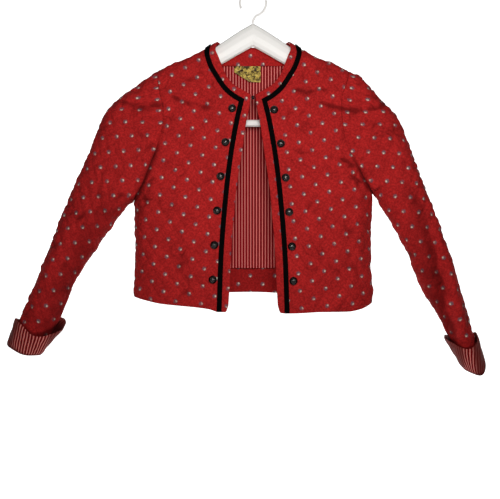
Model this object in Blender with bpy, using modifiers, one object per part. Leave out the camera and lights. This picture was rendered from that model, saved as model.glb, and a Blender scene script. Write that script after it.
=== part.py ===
"""A child's quilted trachten jacket on a plain white clothes hanger.

The jacket hangs from the hanger's hook, whose bearing point is the origin. +Z is up, +X is the
viewer's right and the front faces -Y. Right and left in the names are the wearer's, so the right
side is at -X. Sizes and tables are in millimetres, and MM turns them into metres when a mesh is
made. Cloth is a wall between an outer skin, which carries the quilting, and a plain inner skin.
"""

import math

import bmesh
import bpy
import numpy as np
from mathutils import Matrix, Vector
from mathutils.geometry import delaunay_2d_cdt

MM = 0.001

WALL = 2.5
SEAM_GAP = 0.3
LAYER_GAP = 0.9
EDGE_STEP = 11.0

QUILT_WIDTH = 19.0
QUILT_HEIGHT = 24.0
QUILT_RISE = 1.6
QUILT_MARGIN = 3.4
FRONT_LEAN = 0.07

SHOULDER_ROUND = 18.0
SHOULDER_DEPTH = 15.0
SIDE_ROUND = 62.0
SIDE_POWER = 2.2
NECK_LEVEL = -80.0

BRAID_WIDTH = 7.5
BRAID_THICK = 1.3
BRAID_GAP = 0.5
BRAID_EASE = 0.8
BRAID_EASE_LENGTH = 26.0

BUTTON_COUNT = 6
BUTTON_TOPS = (-179.2, -181.2)
BUTTON_STEP = 50.5
BUTTON_FROM_BRAID = 10.8
BUTTON_RADIUS = 6.0
BUTTON_HEIGHT = 4.2
BUTTON_GAP = 0.55
BUTTON_SIDES = 12
PRESSED_FLAT = 14.0

LINING_THICK = 1.2
LINING_TOP = -110.5
LINING_BOTTOM = -416.0
LABEL_THICK = 0.8
LABEL_EDGES = (-28.0, 11.5)
LABEL_TOP = -108.5
LABEL_DROP = 24.5
CUFF_THICK = 2.0
CUFF_LIP = 9.0
CUFF_FLOOR = 3.0
CUFF_SIDES = 22

HANGER_HALF_THICK = 6.0
HANGER_HALF_SPAN = 203.0
HANGER_TIP_START = 196.0
HANGER_TIP_LENGTH = 9.0
HANGER_SIDES = 12
HANGER_SQUARE_Y = 0.75
HANGER_SQUARE_Z = 0.9
BAR_RADIUS = 5.25
BAR_HEIGHT = -198.6
BAR_STRAIGHT = 172.0
BAR_END = 187.0
BAR_CLEAR = 0.4
HOOK_RADIUS = 18.0
HOOK_WIRE = 1.8
FASTENER_WIRE = 0.45
FASTENER_HEIGHT = -161.5
FASTENER_BEHIND = 1.1

RED = (0.42, 0.012, 0.016, 1.0)
LINING_RED = (0.36, 0.05, 0.05, 1.0)
BLACK = (0.012, 0.012, 0.013, 1.0)
DARK_METAL = (0.05, 0.045, 0.045, 1.0)
GOLD = (0.52, 0.4, 0.16, 1.0)
WHITE = (0.85, 0.84, 0.82, 1.0)

RIGHT = -1.0
LEFT = 1.0
FRONT = -1.0
BACK = 1.0


def table(names, *rows):
    """A short table with named columns, a row for each section, point or fold."""
    return dict(zip(names.split(), np.array(rows, float).T))


# The line over the shoulders, from the neck to the hanger's end.
RIDGE = table(
    "x z",
    (0, -72), (40, -73.5), (52.5, -76), (61, -80), (69, -85.5), (79, -91.5), (90, -97.5),
    (105, -103.5), (120, -109.5), (133, -115.5), (145.5, -121.5), (155, -127.5), (170, -139.5),
    (195, -160), (215, -183), (260, -240),
)
# Half the width of the body at each height. Above the arms it runs on under the sleeves.
BODY_WIDTH = table(
    "z half_width",
    (-490, 179), (-450, 178.5), (-420, 176.5), (-380, 176), (-340, 177.3), (-313, 178),
    (-300, 178.6), (-285, 182), (-262, 196), (-235, 222), (-200, 260), (-60, 300),
)
# How far the body stands from its middle plane, beyond the shoulder's own depth.
BODY_DEPTH = table(
    "drop extra", (0, 0), (18, 0), (60, 3), (120, 8), (180, 13.5), (240, 17.5), (320, 21), (420, 23)
)
NECK_FRONT = table(
    "x z", (52.5, -76), (56, -89), (52, -99.5), (46.6, -113), (40, -128.7), (29, -142.5), (16, -150.7),
    (3.4, -158),
)
NECK_BACK = table("x z", (52.5, -76), (40, -79.5), (20, -81.5), (0, -82))
FRONT_EDGE = table(
    "z x",
    (-158, 3.2), (-178, 5.3), (-195, 9.3), (-223, 13.3), (-252, 17.5), (-280.5, 21.8), (-309, 25.4),
    (-339, 27.8), (-366, 30.4), (-391, 32), (-440, 34.3), (-470, 36),
)
HEMS = {
    RIGHT: table("x z", (36, -470), (40, -479.5), (50, -479.5), (64, -475.5), (78, -473.3), (107, -470.4),
                 (136, -467.4), (158, -463), (179, -458)),
    LEFT: table("x z", (36, -470), (40, -480.5), (50, -481.6), (64, -481.4), (98, -479.6), (140, -479),
                (160, -475.5), (179, -467)),
}
BACK_HEM = table(
    "x z", (-179, -458), (-120, -456), (-60, -454), (0, -453), (60, -456), (120, -461), (179, -467)
)
ARMHOLES = {
    RIGHT: table("z x", (-120.5, 143), (-135, 141.7), (-150, 139.3), (-165, 136), (-180, 133),
                 (-195, 133.6), (-215, 137.6), (-237, 143.8), (-252, 149.3), (-268, 155.6), (-283, 162),
                 (-297, 168.6), (-307, 174), (-313, 178)),
    LEFT: table("z x", (-120.5, 143), (-133, 141.2), (-150, 135.2), (-165, 131.9), (-180, 131.2),
                (-196, 132.5), (-216, 136.3), (-236, 141.3), (-252, 149), (-270, 159.2), (-284, 166.3),
                (-293, 171.5), (-300, 178.6)),
}
# Each sleeve lies along its own axis. t runs up the axis from the cuff, and p across it, outwards.
SLEEVE_ORIGIN = {RIGHT: (-325.5, -508.5), LEFT: (313.5, -523.5)}
SLEEVE_LEAN = {RIGHT: math.radians(26.57), LEFT: math.radians(22.7)}
SLEEVE_OUTER = {
    RIGHT: table("t p", (-45, 25), (-20, 26), (0, 27), (30, 28.6), (70, 30.7), (107, 34.9), (158, 40.2),
                 (209, 44), (262, 46), (301, 49.4), (326, 51.6), (337, 51.6), (347.3, 49.4), (363.4, 44),
                 (381.5, 34.6), (399.6, 25.2), (417.7, 15.8), (428.7, 10.4)),
    LEFT: table("t p", (-60, 13.5), (-20, 15.5), (10, 16.8), (36, 21.5), (61, 24.1), (86, 26.6), (111, 30),
                (136, 32.4), (187, 34.6), (238, 36.6), (290, 38.5), (328, 39.6), (341, 38.8), (356, 35.2),
                (379, 26.8), (402, 18.2), (425.5, 8.4), (437.9, -1.6)),
}
SLEEVE_INNER = {
    RIGHT: table("t p", (-45, -21), (-20, -22), (0, -23.5), (30, -25.5), (56, -24), (90, -20.6), (112, -21),
                 (137, -25.2), (165, -28.6), (195, -33.3), (223, -38), (240.8, -44.2), (262, -62), (300, -95),
                 (430, -210)),
    LEFT: table("t p", (-60, -9), (-45, -11.5), (-15, -15.5), (24, -17.7), (40, -18.4), (68, -23),
                (96, -26.2), (122, -26.6), (147, -25.2), (174, -26.5), (201, -29.7), (242, -35.6),
                (258.2, -38), (270, -46), (285, -60), (320, -95), (440, -210)),
}
SLEEVE_DEPTH = {
    RIGHT: table("t depth", (-45, 15.5), (0, 16.5), (60, 20), (150, 24), (240, 25.5), (330, 20), (429, 15)),
    LEFT: table("t depth", (-60, 22), (0, 24.5), (60, 26), (150, 27), (262, 26.5), (340, 20), (438, 15)),
}
# How far each sleeve hangs forward of the middle plane.
SLEEVE_FORWARD = table("t forward", (-60, 9), (60, 6), (200, 0.5), (240, 0), (440, 0))
# Heights along the sleeve of each cuff's rim and fold: outside, in front, inside and behind.
CUFF_RIM = {RIGHT: (4.0, -3.0, 25.0, 20.0), LEFT: (3.0, -9.5, 15.0, 4.0)}
CUFF_RIM_TWIST = {RIGHT: 6.0, LEFT: 1.5}
CUFF_FOLD = {RIGHT: (-37.0, -38.0, -30.0, -35.0), LEFT: (-41.0, -54.0, -42.0, -44.0)}
CUFF_FLARE = {RIGHT: (2.5, 3.0, 8.0, 2.5), LEFT: (1.5, 3.5, 2.5, 2.5)}

BRAID_PATH = table(
    "x z",
    (66.5, -83.6), (68.5, -94.6), (64.2, -111.5), (53, -132), (41.5, -148.7), (29.6, -159.4), (17, -167),
    (22.5, -190), (30.3, -232), (36.3, -275), (41, -320), (44.8, -365), (47, -400), (48.2, -430),
    (49.7, -479),
)
BRAID_CORNER = 6

# The largest folds: soft ridges along a line, with the height that they stand out from the cloth.
FOLDS = {
    FRONT: table(
        "x0 z0 x1 z1 width height",
        (-205, -172, -95, -148, 9, 3.0), (-190, -196, -120, -176, 8, 2.2), (58, -150, 140, -158, 9, 2.8),
        (120, -176, 200, -186, 8, 2.6), (165, -205, 226, -232, 9, 2.4), (126, -246, 168, -270, 6, 2.6),
        (118, -262, 160, -292, 6, 2.2), (-160, -262, -118, -240, 7, 2.2),
        (-186, -262, -226, -372, 8, 3.4), (-205, -300, -262, -430, 8, 2.6), (-150, -258, -168, -395, 11, 3.6),
        (158, -300, 150, -430, 11, 3.2), (279, -332, 294, -418, 8, 4.2), (292, -415, 318, -520, 7, 3.6),
        (-286, -380, -318, -450, 8, 2.4), (232, -250, 262, -330, 9, 2.4), (-110, -300, -96, -440, 12, 2.2),
        (96, -320, 90, -450, 12, 2.2),
    ),
    BACK: table(
        "x0 z0 x1 z1 width height",
        (-200, -170, -110, -150, 9, 2.6), (62, -152, 150, -164, 9, 2.6), (-60, -150, 60, -154, 12, 2.0),
        (120, -262, 168, -292, 7, 2.4), (-170, -288, -120, -256, 7, 2.4), (-95, -250, -112, -430, 13, 3.2),
        (92, -260, 108, -440, 13, 3.0), (-20, -300, -8, -440, 14, 2.4), (232, -262, 292, -430, 9, 3.4),
        (-210, -290, -272, -430, 9, 3.2), (-290, -400, -318, -480, 8, 2.4), (296, -430, 316, -510, 8, 2.6),
    ),
}


def smooth(at, xs, ys):
    """A monotone cubic curve through a table's points, held level past both ends."""
    order = np.argsort(xs)
    xs, ys = xs[order], ys[order]
    steps = np.diff(xs)
    slopes = np.diff(ys) / steps
    tangents = np.zeros(len(xs))
    both = slopes[:-1] * slopes[1:] > 0
    weight_a = 2 * steps[1:] + steps[:-1]
    weight_b = steps[1:] + 2 * steps[:-1]
    safe_a = np.where(both, slopes[:-1], 1.0)
    safe_b = np.where(both, slopes[1:], 1.0)
    mean = (weight_a + weight_b) / (weight_a / safe_a + weight_b / safe_b)
    tangents[1:-1] = np.where(both, mean, 0.0)
    tangents[0] = slopes[0]
    tangents[-1] = slopes[-1]
    at = np.clip(np.asarray(at, float), xs[0], xs[-1])
    k = np.clip(np.searchsorted(xs, at) - 1, 0, len(steps) - 1)
    u = (at - xs[k]) / steps[k]
    return (
        ys[k] * (1 + 2 * u) * (1 - u) ** 2
        + tangents[k] * steps[k] * u * (1 - u) ** 2
        + ys[k + 1] * u * u * (3 - 2 * u)
        + tangents[k + 1] * steps[k] * u * u * (u - 1)
    )


def quarter(w, power=2.0):
    """Height of a rounded edge, from 0 at w = 0 to 1 at w = 1 and beyond."""
    w = np.clip(w, 0.0, 1.0)
    return (1 - (1 - w) ** power) ** (1 / power)


def ridge(x):
    return smooth(np.abs(x), RIDGE["x"], RIDGE["z"])


def shoulder_arc():
    """Distance along the rounded shoulder to each of the drops below the ridge."""
    out = SHOULDER_DEPTH * quarter(DROPS[:-1] / SHOULDER_ROUND)
    arc = np.cumsum(np.hypot(np.diff(DROPS[:-1]), np.diff(out)))
    return np.concatenate([[0.0], arc, [arc[-1] + DROPS[-1] - SHOULDER_ROUND]])


DROPS = np.concatenate([np.linspace(0, 1, 60) ** 3 * SHOULDER_ROUND, [500.0]])
ALONG = shoulder_arc()
SHOULDER_EXTRA = ALONG[-1] - DROPS[-1]


def body_depth(x, z):
    """How far the body's outer face stands from the middle plane, without folds."""
    drop = ridge(x) - z
    depth = SHOULDER_DEPTH * quarter(drop / SHOULDER_ROUND)
    depth = depth + smooth(drop, BODY_DEPTH["drop"], BODY_DEPTH["extra"])
    half = smooth(z, BODY_WIDTH["z"], BODY_WIDTH["half_width"])
    return depth * quarter((half - np.abs(x)) / SIDE_ROUND, SIDE_POWER)


def fold_height(x, z, face):
    """The folds' height over a point, seen from the front or the back."""
    total = np.zeros(np.shape(x))
    rows = FOLDS[face]
    for x0, z0, x1, z1, width, height in zip(*rows.values()):
        length = math.hypot(x1 - x0, z1 - z0)
        along = ((x - x0) * (x1 - x0) + (z - z0) * (z1 - z0)) / length ** 2
        across = ((x - x0) * (z1 - z0) - (z - z0) * (x1 - x0)) / length
        ends = np.clip(np.minimum(along, 1 - along) / 0.3 + 0.35, 0, 1)
        total += height * ends ** 2 * (3 - 2 * ends) * np.exp(-((across / width) ** 2))
    return total


def with_folds(x, z, depth, face):
    return depth + fold_height(x, z, face) * np.clip(depth / 12.0, 0, 1) ** 2


def side_arc(height):
    """Positions across the body from its middle to its side, and the arc to each, a row a height."""
    half = smooth(height, BODY_WIDTH["z"], BODY_WIDTH["half_width"])[:, None]
    depth = (SHOULDER_DEPTH + smooth(NECK_LEVEL - height, BODY_DEPTH["drop"], BODY_DEPTH["extra"]))[:, None]
    part = np.linspace(0, 1, 50)[None, :]
    x = half - SIDE_ROUND + SIDE_ROUND * np.sin(part * math.pi / 2)
    x = np.concatenate([np.zeros_like(half), x], axis=1)
    y = depth * quarter((half - x) / SIDE_ROUND, SIDE_POWER)
    arc = np.cumsum(np.hypot(np.diff(x, axis=1), np.diff(y, axis=1)), axis=1)
    return x, np.concatenate([np.zeros_like(half), arc], axis=1)


def rows_interp(at, xs, ys):
    return np.array([np.interp(a, row_x, row_y) for a, row_x, row_y in zip(at, xs, ys)])


def flat_of_body(x, z):
    """A point of the body, laid flat: arc across from the middle, and height."""
    x, z = np.atleast_1d(x).astype(float), np.atleast_1d(z).astype(float)
    drop = ridge(x) - z
    height = ridge(x) + SHOULDER_EXTRA - np.interp(drop, DROPS, ALONG)
    across, arcs = side_arc(height)
    return np.stack([np.sign(x) * rows_interp(np.abs(x), across, arcs), height], axis=1)


def body_place(flat, face):
    across, arcs = side_arc(flat[:, 1])
    x = np.sign(flat[:, 0]) * rows_interp(np.abs(flat[:, 0]), arcs, across)
    along = ridge(x) + SHOULDER_EXTRA - flat[:, 1]
    z = ridge(x) - np.interp(along, ALONG, DROPS)
    depth = with_folds(x, z, body_depth(x, z), face)
    return np.stack([x, face * depth, z], axis=1)


def frame_of_sleeve(side):
    """The sleeve's origin, its axis and its outward direction, in the XZ plane."""
    lean = SLEEVE_LEAN[side]
    axis = np.array([-side * math.sin(lean), math.cos(lean)])
    outward = np.array([side * math.cos(lean), math.sin(lean)])
    return np.array(SLEEVE_ORIGIN[side]), axis, outward


def armhole_points(side, count=24):
    """Even points down the armhole seam, from the shoulder to under the arm."""
    rows = ARMHOLES[side]
    z = np.linspace(rows["z"].max(), rows["z"].min(), 400)
    x = smooth(z, rows["z"], rows["x"])
    z[0] = ridge(x[0])
    arc = np.concatenate([[0], np.cumsum(np.hypot(np.diff(x), np.diff(z)))])
    at = np.linspace(0, arc[-1], count)
    return np.stack([side * np.interp(at, arc, x), np.interp(at, arc, z)], axis=1)


class Sleeve:
    """The form of one sleeve: its outline from the front, its depth, and where it meets the body."""

    def __init__(self, side):
        self.side = side
        self.origin, self.axis, self.outward = frame_of_sleeve(side)
        seam = armhole_points(side, 120)
        self.seam_t = (seam - self.origin) @ self.axis
        self.seam_p = (seam - self.origin) @ self.outward
        self.seam_depth = body_depth(seam[:, 0], seam[:, 1])
        self.under = self.seam_t[-1]
        self.top = self.seam_t[0]

    def edges(self, t):
        """Across the sleeve: its outer edge, its inner edge or the armhole seam, and where it closes."""
        outer = smooth(t, SLEEVE_OUTER[self.side]["t"], SLEEVE_OUTER[self.side]["p"])
        closing = smooth(t, SLEEVE_INNER[self.side]["t"], SLEEVE_INNER[self.side]["p"])
        seam = np.interp(t, self.seam_t[::-1], self.seam_p[::-1])
        inner = np.where(t > self.under, np.minimum(seam, outer - 0.01), closing)
        return outer, inner, closing

    def depth(self, t, p):
        outer, inner, closing = self.edges(t)
        most = smooth(t, SLEEVE_DEPTH[self.side]["t"], SLEEVE_DEPTH[self.side]["depth"])
        upper = np.clip((t - self.under + 60) / (self.top - self.under - 20), 0, 1)
        reach = (1 - upper) * np.clip(outer - closing, 0, 100) / 2 + upper * SHOULDER_ROUND

        def raw(at):
            return most * quarter((outer - at) / reach) * quarter((at - closing) / reach)

        seam_depth = np.interp(t, self.seam_t[::-1], self.seam_depth[::-1])
        share = np.clip((outer - p) / np.maximum(outer - inner, 0.01), 0, 1)
        fitted = raw(p) + (seam_depth - raw(inner)) * share
        return np.where(t > self.under, fitted, raw(p))

    def sections(self, t):
        outer, inner, _ = self.edges(t)
        part = (1 - np.cos(np.linspace(0, math.pi, 60))) / 2
        p = outer[:, None] + (inner - outer)[:, None] * part[None, :]
        depth = self.depth(np.repeat(t[:, None], 60, axis=1), p)
        arc = np.cumsum(np.hypot(np.diff(p, axis=1), np.diff(depth, axis=1)), axis=1)
        return p, np.concatenate([np.zeros((len(t), 1)), arc], axis=1)

    def half_girth(self, t):
        """Arc from the outer edge to the inner edge or seam."""
        return self.sections(np.atleast_1d(np.asarray(t, float)))[1][:, -1]

    def place(self, flat):
        """The sleeve laid flat, arc from its outer edge and height along it, put back in its place."""
        q, t = flat[:, 0], flat[:, 1]
        p, arcs = self.sections(t)
        p = rows_interp(np.abs(q), arcs, p)
        xz = self.origin + t[:, None] * self.axis + p[:, None] * self.outward
        depth = self.depth(t, p)
        front = with_folds(xz[:, 0], xz[:, 1], depth, FRONT)
        back = with_folds(xz[:, 0], xz[:, 1], depth, BACK)
        y = np.where(q >= 0, -front, back) - smooth(t, SLEEVE_FORWARD["t"], SLEEVE_FORWARD["forward"])
        return np.stack([xz[:, 0], y, xz[:, 1]], axis=1)


def normals_of(place, flat, inward=1.0):
    """Outward normals of a laid-flat surface once it is put in its place."""
    step = 0.4
    a = place(flat + [step, 0]) - place(flat - [step, 0])
    b = place(flat + [0, step]) - place(flat - [0, step])
    normal = np.cross(a, b) * inward
    return normal / np.maximum(np.linalg.norm(normal, axis=1, keepdims=True), 1e-9)


def resample(points, step, closed=False):
    """Even points along a polyline."""
    points = np.asarray(points, float)
    arc = np.concatenate([[0], np.cumsum(np.linalg.norm(np.diff(points, axis=0), axis=1))])
    count = max(2, int(round(arc[-1] / step)) + 1)
    at = np.linspace(0, arc[-1], count)
    found = np.stack([np.interp(at, arc, points[:, k]) for k in range(points.shape[1])], axis=1)
    return found[:-1] if closed else found


def curve_of(rows, step, first="x", second="z"):
    """Even points on a smooth curve through a table whose first named column rises or falls."""
    at = np.linspace(rows[first][0], rows[first][-1], 200)
    other = smooth(at, rows[first], rows[second])
    pair = (at, other) if first == "x" else (other, at)
    return resample(np.stack(pair, axis=1), step)


def path_of(rows, step):
    """Even points on a smooth curve through a table's points, whichever way they turn."""
    points = np.stack([rows["x"], rows["z"]], axis=1)
    arc = np.concatenate([[0], np.cumsum(np.linalg.norm(np.diff(points, axis=0), axis=1))])
    at = np.linspace(0, arc[-1], 200)
    return resample(np.stack([smooth(at, arc, points[:, k]) for k in (0, 1)], axis=1), step)


def inset(loop, amounts):
    """A closed flat outline moved inwards by an amount at each corner."""
    area = np.sum(loop[:, 0] * np.roll(loop[:, 1], -1) - np.roll(loop[:, 0], -1) * loop[:, 1])
    turn = 1.0 if area > 0 else -1.0
    before = loop - np.roll(loop, 1, axis=0)
    after = np.roll(loop, -1, axis=0) - loop
    before = before / np.linalg.norm(before, axis=1, keepdims=True)
    after = after / np.linalg.norm(after, axis=1, keepdims=True)
    normal_a = turn * np.stack([-before[:, 1], before[:, 0]], axis=1)
    normal_b = turn * np.stack([-after[:, 1], after[:, 0]], axis=1)
    mitre = normal_a + normal_b
    scale = np.maximum(np.sum(mitre * normal_a, axis=1, keepdims=True), 0.5)
    return loop + mitre / scale * np.asarray(amounts)[:, None]


def inside(points, loop):
    """Which points lie inside a closed outline."""
    x, y = points[:, 0:1], points[:, 1:2]
    ax, ay = loop[:, 0][None], loop[:, 1][None]
    bx, by = np.roll(loop[:, 0], -1)[None], np.roll(loop[:, 1], -1)[None]
    crosses = (ay > y) != (by > y)
    at = ax + (y - ay) * (bx - ax) / np.where(by == ay, 1.0, by - ay)
    return np.sum(crosses & (x < at), axis=1) % 2 == 1


def distance(points, lines):
    """Distance from each point to the nearest of some segments, each a pair of ends."""
    lines = np.asarray(lines, float)
    a, b = lines[None, :, 0], lines[None, :, 1]
    p = points[:, None]
    share = np.sum((p - a) * (b - a), axis=2) / np.maximum(np.sum((b - a) ** 2, axis=2), 1e-12)
    near = a + np.clip(share, 0, 1)[..., None] * (b - a)
    return np.min(np.linalg.norm(p - near, axis=2), axis=1)


def segments(points, closed=False):
    ends = np.roll(points, -1, axis=0) if closed else points[1:]
    starts = points if closed else points[:-1]
    return np.stack([starts, ends], axis=1)


def crossing(pairs, walls):
    """Which of some segments cross any of some others."""

    def turns(a, b, c):
        along, off = b - a, c - a
        return along[..., 0] * off[..., 1] - along[..., 1] * off[..., 0]

    a, b = pairs[:, None, 0], pairs[:, None, 1]
    c, d = walls[None, :, 0], walls[None, :, 1]
    return np.any((turns(a, b, c) * turns(a, b, d) < 0) & (turns(c, d, a) * turns(c, d, b) < 0), axis=1)


def quilt_lattice(loop, lean, lines):
    """Points of the diamond quilting inside an outline: places, heights and the stitched edges."""
    low, high = loop.min(axis=0), loop.max(axis=0)
    centre = (low + high) / 2
    reach = np.hypot(*(high - low)) / 2 + QUILT_HEIGHT
    columns = int(reach / (QUILT_WIDTH / 2)) + 1
    rows = int(reach / (QUILT_HEIGHT / 2)) + 1
    turn = np.array([[math.cos(lean), math.sin(lean)], [-math.sin(lean), math.cos(lean)]])
    index, places = [], []
    for i in range(-columns, columns + 1):
        for j in range(-rows, rows + 1):
            index.append((i, j))
            places.append((i * QUILT_WIDTH / 2, j * QUILT_HEIGHT / 2))
    places = np.array(places) @ turn + centre
    keep = inside(places, loop)
    keep &= distance(places, segments(loop, True)) > QUILT_MARGIN
    for line in lines:
        keep &= distance(places, segments(line)) > QUILT_MARGIN
    kept = {pair: k for k, pair in enumerate(p for p, use in zip(index, keep) if use)}
    edges = []
    for (i, j), k in kept.items():
        if (i + j) % 2 == 0:
            edges += [(k, kept[n]) for n in ((i + 1, j + 1), (i + 1, j - 1)) if n in kept]
    heights = np.array([QUILT_RISE if (i + j) % 2 else 0.0 for i, j in kept])
    places = places[keep]
    walls = np.concatenate([segments(loop, True)] + [segments(line) for line in lines])
    pairs = places[np.array(edges)]
    return places, heights, [edge for edge, cut in zip(edges, crossing(pairs, walls)) if not cut]


def triangulate(points, corners, edges):
    """Triangles inside the outline, which is the first corners, through every point and edge."""
    found = delaunay_2d_cdt([Vector(p) for p in points], edges, [list(range(corners))], 1, 1e-6, True)
    names = np.array([ids[0] for ids in found[3]])
    faces = names[np.array(found[2])]
    middles = points[faces].mean(axis=1)
    return faces[inside(middles, points[:corners])].tolist()


def material(name, colour, roughness, metallic=0.0):
    made = bpy.data.materials.get(name) or bpy.data.materials.new(name)
    made.use_nodes = True
    shader = made.node_tree.nodes["Principled BSDF"]
    shader.inputs["Base Color"].default_value = colour
    shader.inputs["Roughness"].default_value = roughness
    shader.inputs["Metallic"].default_value = metallic
    return made


def add_object(name, mesh, look):
    obj = bpy.data.objects.new(name, mesh)
    mesh.materials.append(material(*look))
    bpy.data.collections["trachten_jacket"].objects.link(obj)
    return obj


def add_mesh(name, points, faces, look, weld=False):
    """A closed mesh from points in millimetres, its faces turned outwards."""
    mesh = bpy.data.meshes.new(name)
    mesh.from_pydata([tuple(p) for p in np.asarray(points) * MM], [], [list(f) for f in faces])
    body = bmesh.new()
    body.from_mesh(mesh)
    if weld:
        bmesh.ops.remove_doubles(body, verts=body.verts, dist=0.005 * MM)
    bmesh.ops.recalc_face_normals(body, faces=body.faces)
    body.to_mesh(mesh)
    body.free()
    mesh.shade_smooth()
    return add_object(name, mesh, look)


def cloth_panel(name, loop, place, inward, quilt, rim_normals, inner_points, look, open_edges=()):
    """A wall of cloth: a quilted outer skin, a plain inner skin, and a rim between them.

    loop is the laid-flat outline, quilt holds more points for the outer skin with their heights
    and edges, rim_normals replaces the normals at some corners, and open_edges names the edges
    of the outline that meet each other and so get no rim.
    """
    corners = len(loop)
    more, heights, edges = quilt
    outer_flat = np.concatenate([loop, more])
    outer_edges = [(a + corners, b + corners) for a, b in edges]
    outer = triangulate(outer_flat, corners, outer_edges)
    normals = normals_of(place, outer_flat, inward)
    for k, normal in rim_normals.items():
        normals[k] = normal
    heights = np.concatenate([np.zeros(corners), heights])
    outer_points = place(outer_flat) + normals * heights[:, None]

    keep = inside(inner_points, loop) & (distance(inner_points, segments(loop, True)) > 4.0)
    inner_flat = np.concatenate([loop, inner_points[keep]])
    inner = triangulate(inner_flat, corners, [])
    inner_normals = normals_of(place, inner_flat, inward)
    inner_normals[:corners] = normals[:corners]
    inner_skin = place(inner_flat) - inner_normals * WALL

    start = len(outer_points)
    faces = [list(f) for f in outer] + [[start + k for k in reversed(f)] for f in inner]
    for k in range(corners):
        n = (k + 1) % corners
        if k not in open_edges:
            faces.append([k, n, start + n, start + k])
    return add_mesh(name, np.concatenate([outer_points, inner_skin]), faces, look, weld=bool(open_edges))


def inner_grid(columns, rows):
    return np.array([(a, b) for a in columns for b in rows], float)


def body_inner_grid(side):
    """Points of the plain inner skin, closer where the cloth bends at the shoulder and the side."""
    arc = side_arc(np.array([-380.0]))[1][0, -1]
    across = np.concatenate([np.arange(6, 100, 24.0), np.arange(110, arc, 11.5)])
    points = [inner_grid(across, np.arange(-450, -165, 32.0))]
    shoulder_x = np.arange(8, 260, 12.0)
    for down in (4.5, 10.0, 17.0, 27.0, 42.0, 60.0):
        level = ridge(shoulder_x) + SHOULDER_EXTRA - down
        points.append(np.stack([shoulder_x, level], axis=1)[level > -160.0])
    points = np.concatenate(points)
    return points * [side, 1.0]


def seam_normals(side, face, seam, sleeve_normals):
    """Normals along the armhole, shared by the body and the sleeve so that their edges face each other."""
    flat = flat_of_body(seam[:, 0], seam[:, 1])
    normals = normals_of(lambda f: body_place(f, face), flat, -face)
    mean = normals + sleeve_normals
    return mean / np.linalg.norm(mean, axis=1, keepdims=True)


def corner_normals(side):
    """Normals at the armhole's two ends: over the shoulder seam, and under the arm."""
    tip = armhole_points(side)[0]
    slope = (ridge(tip[0] * 1.05) - ridge(tip[0] * 0.95)) / (tip[0] * 0.1)
    over = np.array([-slope, 0.0, 1.0])
    outward = frame_of_sleeve(side)[2]
    under = np.array([side - outward[0], 0.0, -outward[1]])
    return over / np.linalg.norm(over), under / np.linalg.norm(under)


def sleeve_seam(form, face):
    """The armhole seam laid flat on the sleeve, and the sleeve's normals along it."""
    seam = armhole_points(form.side)
    t = (seam - form.origin) @ form.axis
    q = -face * form.half_girth(t)
    flat = np.stack([q, t], axis=1)
    near = flat - np.stack([np.sign(q) * 0.6, np.full(len(q), 0.4)], axis=1)
    near[0] = (-face * 0.6, t[0] - 1.5)
    return seam, flat, normals_of(form.place, near, -form.side)


def braid_flat(side):
    """The braid's middle line on a front, laid flat, with its mitred corner kept sharp."""
    neck = {key: values[: BRAID_CORNER + 1] for key, values in BRAID_PATH.items()}
    edge = {key: values[BRAID_CORNER:] for key, values in BRAID_PATH.items()}
    neck = path_of(neck, 5.0)
    edge = path_of(edge, 12.0)
    neck = flat_of_body(side * neck[:, 0], neck[:, 1])
    edge = flat_of_body(side * edge[:, 0], edge[:, 1])
    top = np.array([[neck[0, 0], ridge(BRAID_PATH["x"][0]) + SHOULDER_EXTRA - SEAM_GAP / 2]])
    over = resample(np.concatenate([top, neck[1:2]]), 6.0)
    bottom = smooth(abs(edge[-1, 0]), HEMS[side]["x"], HEMS[side]["z"]) + 0.4
    edge = edge[edge[:, 1] > bottom + 4.0]
    last = edge[-1] + (edge[-1] - edge[-2]) * (bottom - edge[-1, 1]) / (edge[-1, 1] - edge[-2, 1])
    return np.concatenate([over, neck[2:], edge[1:], [last]])


def offset_line(line, amount):
    """An open flat line moved sideways, mitred at its corners."""
    steps = np.diff(line, axis=0)
    steps /= np.linalg.norm(steps, axis=1, keepdims=True)
    before = np.concatenate([steps[:1], steps])
    after = np.concatenate([steps, steps[-1:]])
    normal_a = np.stack([-before[:, 1], before[:, 0]], axis=1)
    normal_b = np.stack([-after[:, 1], after[:, 0]], axis=1)
    mitre = normal_a + normal_b
    return line + mitre / np.sum(mitre * normal_a, axis=1, keepdims=True) * amount


def neck_braid_flat():
    """The braid's middle line round the back neck, laid flat, from shoulder seam to shoulder seam."""
    start = BRAID_PATH["x"][0]
    level = ridge(start) + SHOULDER_EXTRA - SEAM_GAP / 2
    rows = table("x z", (start, level), (start - 3, level - 14), (50, -93.5), (30, -97), (0, -98))
    half = path_of(rows, 8.0)
    return np.concatenate([half * [-1, 1], half[::-1][1:]])


def button_places(side):
    """Where the buttons sit on a front: x and z of each."""
    z = BUTTON_TOPS[side > 0] - BUTTON_STEP * np.arange(BUTTON_COUNT)
    edge = slice(BRAID_CORNER, None)
    x = smooth(z, BRAID_PATH["z"][edge], BRAID_PATH["x"][edge]) + BUTTON_FROM_BRAID
    return np.stack([side * x, z], axis=1)


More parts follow.
